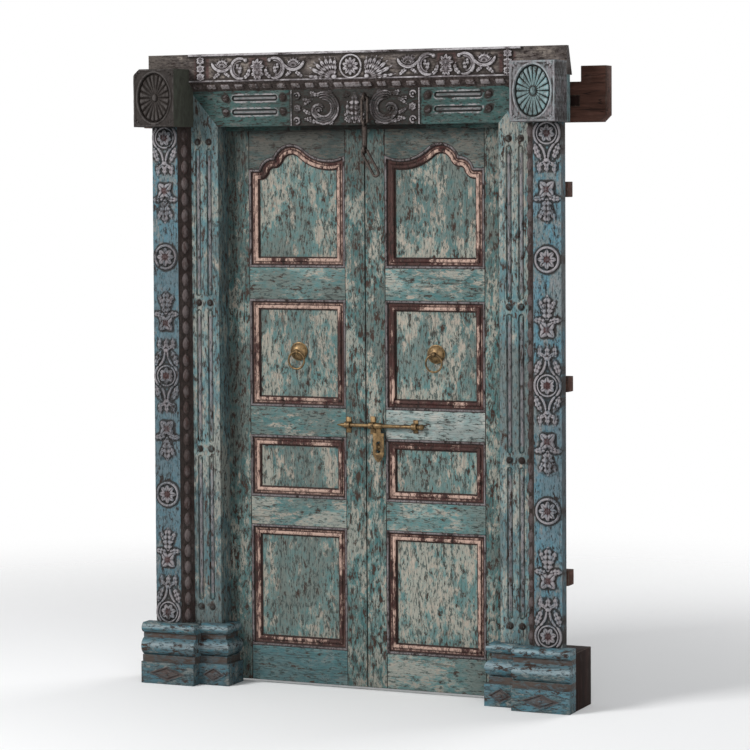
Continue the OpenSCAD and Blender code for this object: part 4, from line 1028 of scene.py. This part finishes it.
@dataclass
class Lintel:
    """Head of the doorway: scrolls in the middle, flutes and bosses towards the mitres."""

    tall: float = 151.0
    flute_w: float = 20.0
    flute_d: float = 7.0
    flutes: Tuple[float, float] = (48.0, 94.8)
    bosses: Tuple[float, float] = (263.7, 478.7)
    mitre: float = 101.0 / 120.0
    scroll_at: Point = (112.0, 58.0)
    field_x: float = 233.0
    hidden: float = 31.0
    strip_low: Place = (-511.7, 92.0, 1891.0)
    strip_high: Place = (511.7, 103.5, 1906.0)

    def flute(self, c: Carving, x0: float, x1: float, y: float) -> None:
        """A round-ended channel with a reed in it."""
        dx = np.maximum(np.maximum(x0 - c.u, c.u - x1), 0.0)
        d = np.hypot(dx, c.v - y)
        half = self.flute_w / 2
        c.h = np.where(d < half, -self.flute_d * np.clip((half - d) / 1.6, 0.0, 1.0), c.h)
        c.raise_to(np.sqrt(np.clip(36.0 - d ** 2, 0.0, 36.0)) - self.flute_d, d < 6.0)

    def scroll(self, c: Carving, x: float, y: float) -> None:
        """A great acanthus scroll of many strands, with its leaves and corner curls.

        Args:
            c: face to carve.
            x: middle of the scroll.
            y: middle of the field.
        """
        for radius, start, end in ((53.0, 62.0, 318.0), (45.0, 58.0, 328.0), (37.0, 64.0, 340.0),
                                   (29.0, 76.0, 350.0)):
            c.stem((x, y), radius, start, end, 4.0, 7.4)
        c.stem((x + 20.0, y - 10.0), 21.0, -130.0, 150.0, 5.2, 7.6)
        c.stem((x + 20.0, y - 10.0), 12.0, -100.0, 190.0, 3.4, 6.6)
        c.dome((x + 18.0, y - 8.0), (7.0, 7.0), 8.0, 6)
        for foot, angle, length, bend in (
                ((x + 8.0, y + 44.0), 12.0, 50.0, -42.0), ((x + 26.0, y + 40.0), 40.0, 34.0, -30.0),
                ((x + 40.0, y + 30.0), -12.0, 44.0, -40.0), ((x + 46.0, y + 20.0), 30.0, 42.0, -30.0),
                ((x + 42.0, y - 20.0), 8.0, 44.0, 40.0), ((x + 40.0, y - 32.0), -24.0, 40.0, 35.0),
                ((x + 12.0, y - 46.0), -4.0, 52.0, 28.0), ((x - 30.0, y + 44.0), 60.0, 24.0, -50.0),
                ((x - 34.0, y - 42.0), -60.0, 22.0, 50.0)):
            c.leaf(foot, angle, length, 16.0, 7.6, bend, 4)
        for sy in (-1, 1):
            c.stem((212.0, y + sy * 42.0), 10.0, 0.0, 300.0, 3.6, 6.8)
            c.dome((212.0, y + sy * 42.0), (4.5, 4.5), 7.0)
        c.flower((210.0, y), 15.0, 6, 7.0, (0.4, 0.4))

    def build(self) -> bpy.types.Object:
        """Carves the lintel, with the stop strip behind its lower edge.

        Returns:
            The finished piece.
        """
        c = Carving((-1.0, 1.0), (0.0, self.tall), 1.7, 720)
        c.u = c.u * (SIZE.x_open + c.v * self.mitre)
        self.scroll(c, *self.scroll_at)
        c.leaf((0.0, 5.6), 90.0, 106.0, 44.0, 8.0, 0.0, 6)
        for angle, length in ((64.0, 74.0), (40.0, 46.0), (16.0, 34.0)):
            c.leaf((10.0, 10.0), angle, length, 17.0, 7.2, 26.0, 4)
        c.leaf((16.0, 104.0), -30.0, 36.0, 14.0, 7.0, 30.0, 3)
        c.raise_to(np.full_like(c.u, 3.5), np.abs(np.abs(c.u) - self.field_x) < 2.4)
        for y in self.flutes:
            self.flute(c, self.bosses[0] + 32.0, self.bosses[1] - 32.0, y)
            for x in self.bosses:
                c.dome((x, y), (11.5, 11.5), 7.8)
        c.mirrored()
        c.weathered(0.5, 31)
        c.h = np.clip(c.h, -7.5, 8.2)
        c.h *= np.clip(self.tall - self.hidden - c.v, 0.0, 1.0)
        back = (SIZE.y_jamb_back, SIZE.y_jamb_back)
        board = c.board("lintel_carved", (0.0, SIZE.band_set, SIZE.z_open), back)
        strip = Bench.block(at(*self.strip_low), at(*self.strip_high), "stop_strip")
        piece = Bench.join([board, strip], "lintel_carved")
        return Bench.hand_over(piece, "lintel_paint", "frame", "lintel", "teal_paint")


@dataclass
class CornerBlock:
    """Block with an oval rosette in a sunk dish."""

    wide: float = 155.0
    tall: float = 195.0
    dish: float = 11.0
    petals: int = 20
    broken: float = 22.6

    def carve(self) -> Carving:
        """Carves the front face.

        Returns:
            The face, with its middle at the origin.
        """
        c = Carving((-self.wide / 2, self.wide / 2), (-self.tall / 2, self.tall / 2), 1.3)
        a, b = self.wide * 0.39, self.tall * 0.43
        r = np.hypot(c.u / a, c.v / b)
        turn = np.arctan2(c.v / b, c.u / a)
        phase = (turn * self.petals / (2 * np.pi)) % 1.0 - 0.5
        near = np.pi * (a + b) / 2 / self.petals
        swell = near * 0.98 * np.clip(r, 0.0, 1.0)
        end = np.clip((0.97 - r) / 0.10, 0.0, 1.0) ** 0.5
        petal = swell * np.sqrt(np.clip(1.0 - (phase / 0.5) ** 2, 0.0, 1.0)) * end
        floor = -self.dish * np.clip((1.0 - r) / 0.03, 0.0, 1.0)
        c.h = np.where(r < 1.0, floor + petal, 0.0)
        c.raise_to(12.0 * np.sqrt(np.clip(1.0 - (r / 0.16) ** 2, 0.0, 1.0)) - self.dish, r < 0.16)
        c.band((0.0, 0.0), (a + 3.5, b + 3.5), 3.4, 3.2)
        for su in (-1, 1):
            for sv in (-1, 1):
                corner = (su * (self.wide / 2 - 5), sv * (self.tall / 2 - 5))
                aim = math.degrees(math.atan2(-sv * 26.0, -su * 22.0))
                for turn_by, length in ((-34.0, 30.0), (0.0, 25.0), (34.0, 30.0)):
                    c.leaf(corner, aim + turn_by, length, 10.0, 4.5, 0.0, 3)
        rim = np.minimum(self.wide / 2 - np.abs(c.u), self.tall / 2 - np.abs(c.v))
        c.raise_to(2.5 * np.clip((4.0 - np.abs(rim - 4.0)) / 2.0, 0.0, 1.0), rim < 8.0)
        c.coat = np.clip((r - 0.99) / 0.02, 0.0, 1.0)
        return c

    def build(self, side: Side) -> bpy.types.Object:
        """Makes one block with its carved face.

        Args:
            side: left or right of the doorway.

        Returns:
            The finished piece.
        """
        c = self.carve()
        c.weathered(0.4 if side is Side.RIGHT else 0.8, 41 + side.value)
        middle = side.value * (SIZE.x_block + SIZE.x_face) / 2
        if side is Side.LEFT:
            over = np.clip(c.v - c.u - (self.wide + self.tall) / 2 + self.broken, 0.0, None) / 2.0
            c.u, c.v = c.u + over, c.v - over
        origin = (middle, -SIZE.block_proud, SIZE.z_open + self.tall / 2)
        piece = c.board("corner_block_carved_" + side.word, origin, (0.0, 0.0))
        low = at(middle - self.wide / 2, 0.0, SIZE.z_open)
        top = at(middle + self.wide / 2, SIZE.band_set, SIZE.z_frieze)
        tail = Bench.block(low, top, "block_tail")
        piece = Bench.join([piece, tail], piece.name)
        paint, slot = ("block_paint", "teal_paint") if side is Side.RIGHT else ("block_bare", "bare_carving")
        return Bench.hand_over(piece, paint, "frame", "corner_block_" + side.word, slot)


@dataclass
class Beading:
    """Strings of beads beside the fluted bands, and the course of blocks under the frieze."""

    bead_r: float = 13.5
    bead_long: float = 1.72
    bead_y: float = 12.0
    count: int = 31
    dentils: int = 11
    dentil_y: float = 15.0
    dentil_z: float = 15.5
    dentil_deep: float = 10.0
    dentil_tall: float = 20.0
    dentil_ease: float = 4.2
    drop_wide: float = 58.0

    def prism(self, corners: Sequence[Point], axis: int, low: float, high: float,
              name: str) -> bpy.types.Object:
        """A three-sided strip along one axis, extruded from its end.

        Args:
            corners: end outline, as (x, y) for an upright strip or (y, z) for a level one.
            axis: 2 for an upright strip, 0 for a level one.
            low: start along the axis.
            high: end along the axis.
            name: name of the piece.

        Returns:
            The strip.
        """
        Bench.clear()
        bpy.ops.mesh.primitive_circle_add(vertices=3, radius=1.0, fill_type="NGON")
        piece = bpy.context.object
        ends = [at(x, y, low) if axis == 2 else at(low, x, y) for x, y in corners]
        Bench.put(piece, np.array(ends))
        step = [0.0, 0.0, 0.0]
        step[axis] = (high - low) * MM
        with Bench.whole(piece):
            bpy.ops.mesh.extrude_region_move(TRANSFORM_OT_translate={"value": step})
        Bench.outward(piece)
        Bench.settle(piece, name)
        # At 0.42 the strip lies just under the hollow line, so it takes part of the painted shade of the
        # hollows behind the beads and dentils.
        Bench.number(piece, "carving", np.full(len(piece.data.vertices), 0.42))
        return piece

    def bead(self, centre: Place) -> bpy.types.Object:
        """One turned bead, a little longer than wide, shaped from a sphere."""
        Bench.clear()
        bpy.ops.mesh.primitive_uv_sphere_add(segments=20, ring_count=12, radius=self.bead_r * MM,
                                             location=centre)
        piece = bpy.context.object
        piece.scale = (1.0, 1.0, self.bead_long)
        Bench.settle(piece, "bead")
        points = Bench.points(piece)
        rel = (points - np.array(centre)) / (self.bead_r * MM)
        rel[:, :2] *= 1.0 - 0.10 * np.clip(np.abs(rel[:, 2:3]) - 0.5, 0.0, 1.0)
        Bench.put(piece, np.array(centre) + rel * self.bead_r * MM)
        # The bead's front counts as crest and takes the rubbed colour; its back against the strip counts as
        # hollow and takes the painted shade.
        Bench.number(piece, "carving", np.clip(0.62 - 0.25 * rel[:, 1], 0.0, 1.0))
        return piece

    def string(self, side: Side) -> bpy.types.Object:
        """One upright string.

        Args:
            side: left or right of the doorway.

        Returns:
            The finished piece.
        """
        s = side.value
        z0, z1 = SIZE.plinth, SIZE.z_open
        run = (z1 - z0) / self.count
        x = s * ((SIZE.x_band + SIZE.x_bead) / 2 + 1.0)
        corners = [(s * SIZE.x_band, SIZE.band_set), (s * SIZE.x_bead, -SIZE.pilaster_proud),
                   (s * SIZE.x_bead, SIZE.band_set)]
        pieces = [self.prism(corners, 2, z0, z1, "strip")]
        for i in range(self.count):
            z = z0 + (i + 0.5) * run
            wobble = 0.6 * math.sin(i * 2.3 + s)
            pieces.append(self.bead(at(x, self.bead_y, z + wobble)))
        piece = Bench.join(pieces, "bead_string_" + side.word)
        Bench.smooth(piece, 45.0)
        return Bench.hand_over(piece, "bead_paint", "frame", "bead_strip_" + side.word, "maroon_paint")

    def course(self) -> bpy.types.Object:
        """The level course under the frieze, with the drop below its middle flower.

        Returns:
            The finished piece.
        """
        corners = [(SIZE.band_set, SIZE.z_beads), (SIZE.band_set, SIZE.z_frieze), (0.0, SIZE.z_frieze)]
        pieces = [self.prism(corners, 0, -SIZE.x_block, SIZE.x_block, "course")]
        pitch = SIZE.x_block / (self.dentils + 0.5)
        slope = math.atan2(SIZE.band_set, SIZE.z_frieze - SIZE.z_beads)
        for i in range(-self.dentils, self.dentils + 1):
            wide = pitch * 0.6 if i else self.drop_wide
            middle = at(i * pitch, self.dentil_y, SIZE.z_beads + self.dentil_z)
            Bench.clear()
            bpy.ops.mesh.primitive_cube_add(size=1.0, location=middle)
            block = bpy.context.object
            block.scale = (wide * MM, self.dentil_deep * MM, self.dentil_tall * MM)
            block.rotation_euler = (slope, 0.0, 0.0)
            Bench.settle(block, "dentil")
            Bench.modify(block, "BEVEL", width=self.dentil_ease * MM, segments=3, limit_method="NONE")
            points = Bench.points(block)
            # A dentil's lower front counts as crest and takes the rubbed colour; its top and back, under the
            # frieze and against the course, count as hollow and take the painted shade.
            out = -(points[:, 1] - points[:, 1].mean()) - (points[:, 2] - points[:, 2].mean())
            Bench.number(block, "carving", np.clip(0.55 + out / (9.0 * MM) * 0.3, 0.0, 1.0))
            pieces.append(block)
        piece = Bench.join(pieces, "bead_course_rounded")
        Bench.smooth(piece, 45.0)
        return Bench.hand_over(piece, "course_paint", "frame", "bead_course", "maroon_paint")


@dataclass
class Arch:
    """Outline of the arched panel opening, for the right leaf."""

    crest_r: float = 71.8
    crest_rise: float = 85.08
    crest_gap: float = 68.93
    shoulder_r: float = 52.06
    shoulder_drop: float = 11.97
    shoulder_flat: float = 38.05
    dip_off: float = 59.95
    dip_rise: float = 31.05

    def loop(self, w: float) -> List[Point]:
        """The outline drawn in by w, with the same number of points for any w."""
        zs, xm, xh = SIZE.z_shoulder, SIZE.x_meeting, SIZE.x_hanging
        c3 = np.array([xh - self.shoulder_flat - math.sqrt(self.shoulder_r ** 2 - self.shoulder_drop ** 2),
                       zs - self.shoulder_drop])
        c2 = np.array([c3[0] - self.crest_gap, zs + self.crest_rise - self.crest_r])
        dip_x, dz = xm + self.dip_off, zs + self.dip_rise - c2[1]
        dip_r = ((c2[0] - dip_x) ** 2 + dz ** 2 - self.crest_r ** 2) / (2 * (self.crest_r - dz))
        c1 = np.array([dip_x, zs + self.dip_rise + dip_r])
        d = float(np.hypot(*(c3 - c2)))
        along = (d * d + self.crest_r ** 2 - self.shoulder_r ** 2) / (2 * d)
        way = (c3 - c2) / d
        notch = c2 + along * way + math.sqrt(self.crest_r ** 2 - along ** 2) * np.array([-way[1], way[0]])
        end = np.array([xh - self.shoulder_flat, zs])

        def angle(v: np.ndarray) -> float:
            """Direction of a vector in degrees."""
            return math.degrees(math.atan2(v[1], v[0]))

        def arc(c: np.ndarray, r: float, a0: float, a1: float, n: int) -> List[Point]:
            """Points along an arc in n steps."""
            return [(c[0] + r * math.cos(math.radians(a0 + (a1 - a0) * i / n)),
                     c[1] + r * math.sin(math.radians(a0 + (a1 - a0) * i / n))) for i in range(n + 1)]
        meet = angle(c1 - c2)
        foot = 180.0 + math.degrees(math.acos((self.dip_off - w) / (dip_r + w)))
        out = [(xm + w, SIZE.z_arch + w), (xh - w, SIZE.z_arch + w), (xh - w, zs - w)]
        out += arc(end, w, 270.0, 360.0 + angle(c3 - end), 8)
        out += arc(c3, self.shoulder_r - w, angle(end - c3), angle(notch - c3), 14)
        out += arc(notch, w, angle(c3 - notch), angle(c2 - notch), 8)
        out += arc(c2, self.crest_r - w, angle(notch - c2), meet, 18)
        out += arc(c1, dip_r + w, meet + 180.0, foot, 16)[1:]
        return out


@dataclass
class Mouldings:
    """Raised mouldings round the four panels of a leaf."""

    wide: float = 35.9
    levels: Tuple[Tuple[float, float], ...] = ((130.0, 545.74), (642.74, 853.25), (952.25, 1317.68))
    arch: Arch = field(default_factory=Arch)

    def profile(self) -> List[Tuple[float, float, float, float]]:
        """Points across the moulding: inset, height over the panel, wear and painted shade (high values take
        the worn colour, low ones the painted shade of the groove and the inner edge), and the lip's coat.
        """
        # Rows at 0.3 lie under the carving's hollow line, so the groove behind the lip and the foot by the
        # panel get painted shade.
        lip = [(3.6 - 3.5 * math.cos(t), 12.0 + 3.4 * math.sin(t), 0.5, 1.0)
               for t in np.linspace(0.0, math.pi, 7)]
        ridge = [(25.5 - 6.5 * math.cos(t), 5.0 + 6.4 * math.sin(t), 0.46 + 0.42 * math.sin(t), 0.0)
                 for t in np.linspace(0.0, math.pi, 9)]
        slope = [(8.0, 8.5, 0.3, 0.0), (11.0, 7.6, 0.5, 0.0), (14.5, 6.8, 0.66, 0.0), (18.2, 5.6, 0.58, 0.0)]
        edge = [(32.6, 3.2, 0.3, 0.0), (35.5, 3.0, 0.5, 0.0), (self.wide, 2.4, 0.5, 0.0),
                (self.wide, 0.2, 0.3, 0.0)]
        return [(0.1, 0.3, 0.3, 0.0)] + lip + slope + ridge + edge

    def sweep(self, loop: Callable[[float], List[Point]], side: Side) -> bpy.types.Object:
        """Runs the profile round an opening.

        Args:
            loop: outline of the opening drawn in by a distance.
            side: leaf that carries it.

        Returns:
            One closed moulding.
        """
        rows = self.profile()
        count = len(loop(0.0))
        Bench.clear()
        bpy.ops.mesh.primitive_grid_add(x_subdivisions=count, y_subdivisions=len(rows), size=1.0)
        piece = bpy.context.object
        grid = Bench.points(piece)
        column = np.rint((grid[:, 0] + 0.5) * count).astype(int) % count
        row = np.rint((grid[:, 1] + 0.5) * len(rows)).astype(int) % len(rows)
        table = np.array([[at(side.value * x, SIZE.y_panel - h, z) for x, z in loop(w)]
                          for w, h, _, _ in rows])
        Bench.put(piece, table[row, column])
        Bench.number(piece, "carving", np.array([wear for _, _, wear, _ in rows])[row])
        Bench.number(piece, "motif", np.array([coat for _, _, _, coat in rows])[row])
        Bench.outward(piece)
        return Bench.settle(piece, "moulding")

    def build(self, side: Side) -> bpy.types.Object:
        """Makes the four mouldings of one leaf.

        Args:
            side: left or right leaf.

        Returns:
            The finished piece.
        """
        pieces = []
        for z0, z1 in self.levels:
            def loop(w: float, z0: float = z0, z1: float = z1) -> List[Point]:
                """The square opening drawn in by w."""
                x0, x1 = SIZE.x_meeting + w, SIZE.x_hanging - w
                out: List[Point] = []
                for (ax, az), (bx, bz) in (((x0, z0 + w), (x1, z0 + w)), ((x1, z0 + w), (x1, z1 - w)),
                                           ((x1, z1 - w), (x0, z1 - w)), ((x0, z1 - w), (x0, z0 + w))):
                    out += [(ax + (bx - ax) * i / 6, az + (bz - az) * i / 6) for i in range(6)]
                return out
            pieces.append(self.sweep(loop, side))
        pieces.append(self.sweep(self.arch.loop, side))
        piece = Bench.join(pieces, "panel_mouldings_" + side.word)
        Bench.smooth(piece, 32.0)
        body, node = side.word + "_leaf", "mouldings_" + side.word
        return Bench.hand_over(piece, "mould_paint", body, node, "maroon_paint")


@dataclass
class Joinery:
    """Plain timbers: they keep their solids' shape, with eased edges, rubbed on the frame and painted dark on
    the leaves' stiles and rails as shade in the joints.
    """

    stiles: Tuple[str, ...] = ("hanging_stile", "meeting_stile")
    rails: Tuple[str, ...] = ("bottom_rail", "low_rail", "lock_rail", "high_rail", "top_rail")
    panels: Tuple[str, ...] = ("tall_panel", "small_panel", "square_panel", "arched_panel")

    def build(self) -> List[bpy.types.Object]:
        """Dresses the frame's timbers and the leaves' boards.

        Returns:
            The finished pieces.
        """
        made = []
        for side in Side:
            # Stiles and rails get the dark edge finish as painted shade in their joints.
            for boards, finishes, eased in ((self.stiles, ("stile_paint", "joint_shade_line"), 1.4),
                                            (self.rails, ("rail_paint", "joint_shade_line"), 1.4),
                                            (self.panels, ("panel_paint",), 0.0)):
                for name in boards:
                    made.append(softened("%s_%s" % (name, side.word), finishes, eased, side.word + "_leaf"))
            for name, paint, eased in (("jamb", "band_paint", 1.4), ("plinth", "plinth_paint", 1.6),
                                       ("foot", "dark_teak", 1.6), ("post", "dark_teak", 1.6)):
                made.append(softened("%s_%s" % (name, side.word), (paint, "worn_edge"), eased))
        for name, paint, eased in (("head_beam", "beam_teak", 2.2), ("head_pegs", "dark_teak", 2.5),
                                   ("wall_keys", "beam_teak", 2.0)):
            made.append(softened(name, (paint, "worn_edge"), eased))
        return made


@dataclass
class Metalwork:
    """Ring pulls, bolt, hasp and chain."""

    brass: Tuple[Tuple[str, str], ...] = (
        ("rose_left", "left_leaf"), ("rose_right", "right_leaf"), ("ring_left", "left_ring"),
        ("ring_right", "right_ring"), ("bolt_keeper", "left_leaf"), ("bolt_guides", "right_leaf"),
        ("hasp_staple", "right_leaf"), ("bolt_rod", "bolt"), ("hasp", "hasp"))
    iron: Tuple[Tuple[str, str], ...] = (
        ("chain_staple", "frame"), ("chain_link", "chain_link"), ("chain_bar", "chain_bar"),
        ("chain_loop", "chain_loop"), ("pivot_plate_left", "frame"), ("pivot_plate_right", "frame"))

    def build(self) -> List[bpy.types.Object]:
        """Dresses every metal piece.

        Returns:
            The finished pieces.
        """
        return ([softened(node, ("brass",), 0.5, body, 45.0) for node, body in self.brass]
                + [softened(node, ("iron",), 0.3, body, 45.0) for node, body in self.iron])


@dataclass
class Studio:
    """Pale floor, soft light and the camera at the photograph's place."""

    yaw: float = 23.903
    pitch: float = 2.498
    roll: float = 0.343
    distance: float = 9294.2
    across: float = 75.6
    height: float = 1728.7
    lens: float = 134.4
    shift_y: float = -0.1

    def camera(self) -> None:
        """Sets the camera."""
        data = bpy.data.cameras.new("view")
        data.sensor_width = 36.0
        data.lens = self.lens
        data.shift_y = self.shift_y
        data.clip_end = 60.0
        eye = bpy.data.objects.new("view", data)
        bpy.context.scene.collection.objects.link(eye)
        yaw = math.radians(self.yaw)
        ahead = Vector((-math.sin(yaw), math.cos(yaw), 0.0))
        right = Vector((math.cos(yaw), math.sin(yaw), 0.0))
        spot = -ahead * self.distance + right * self.across + Vector((0.0, FACE_Y, self.height))
        eye.location = spot * MM
        eye.rotation_mode = "QUATERNION"
        tilt = math.radians(self.pitch)
        look = ahead * math.cos(tilt) - Vector((0.0, 0.0, math.sin(tilt)))
        level = look.to_track_quat("-Z", "Y")
        eye.rotation_quaternion = level @ Quaternion((0.0, 0.0, 1.0), -math.radians(self.roll))
        bpy.context.scene.camera = eye

    def lamp(self, name: str, spot: Sequence[float], aim: Sequence[float], size: float, power: float) -> None:
        """Hangs one soft lamp."""
        data = bpy.data.lights.new(name, "AREA")
        data.size = size
        data.energy = power
        lamp = bpy.data.objects.new(name, data)
        bpy.context.scene.collection.objects.link(lamp)
        lamp.location = spot
        lamp.rotation_mode = "QUATERNION"
        lamp.rotation_quaternion = (Vector(aim) - Vector(spot)).to_track_quat("-Z", "Y")

    def world(self) -> None:
        """White where it is seen, and a weaker light on the door."""
        world = bpy.data.worlds.new("studio")
        bpy.context.scene.world = world
        world.use_nodes = True
        tree = world.node_tree
        tree.nodes.clear()
        rays, white, soft, some, seen, pick, out = (tree.nodes.new("ShaderNode" + kind) for kind in (
            "LightPath", "Background", "Background", "Math", "Math", "MixShader", "OutputWorld"))
        for light, colour, power in ((white, (1.0, 1.0, 1.0, 1.0), 1.0), (soft, (0.95, 0.97, 1.0, 1.0), 0.3)):
            light.inputs[0].default_value = colour
            light.inputs[1].default_value = power
        some.operation = seen.operation = "MAXIMUM"
        for start, end in ((rays.outputs["Is Camera Ray"], some.inputs[0]),
                           (rays.outputs["Is Glossy Ray"], some.inputs[1]),
                           (some.outputs[0], seen.inputs[0]),
                           (rays.outputs["Is Transmission Ray"], seen.inputs[1]),
                           (seen.outputs[0], pick.inputs[0]), (soft.outputs[0], pick.inputs[1]),
                           (white.outputs[0], pick.inputs[2]), (pick.outputs[0], out.inputs[0])):
            tree.links.new(start, end)

    def build(self) -> None:
        """Makes the world, the floor and the lamps."""
        bpy.context.scene.view_settings.view_transform = "Standard"
        self.world()
        Bench.clear()
        bpy.ops.mesh.primitive_plane_add(size=40.0, location=(0.0, 0.0, -0.0005))
        floor = bpy.context.object
        floor.name = "studio_floor"
        shade = Shade("pale_floor")
        far = shade.node("ShaderNodeVectorMath", {"operation": "LENGTH"}, {0: shade.place}, "Value")
        shade.shine((0.93, 0.93, 0.93), 0.9, 0.0, 1.0 - far.smooth(1.5, 4.5))
        floor.data.materials.append(shade.material)
        self.lamp("key", (-3.2, -4.8, 4.2), (0.0, 0.0, 1.1), 2.4, 400.0)
        self.lamp("fill", (3.2, -5.4, 2.4), (0.0, 0.0, 1.0), 3.4, 110.0)
        self.lamp("rim", (2.5, 4.2, 3.6), (0.0, 0.0, 1.2), 3.0, 120.0)


def main() -> None:
    """Builds every sub-assembly in order and reports it."""
    logging.basicConfig(level=logging.INFO, format="%(name)s: %(message)s")
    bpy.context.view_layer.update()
    studio = Studio()
    studio.camera()
    studio.build()
    made = [Frieze().build(), Lintel().build()]
    for side in Side:
        made += [Pilaster().build(side), CornerBlock().build(side), Beading().string(side),
                 Mouldings().build(side)]
    made += [Beading().course()] + Joinery().build() + Metalwork().build()
    for piece in made:
        LOG.info("%s: %d faces", piece.name, len(piece.data.polygons))


if __name__ == "__main__":
    main()
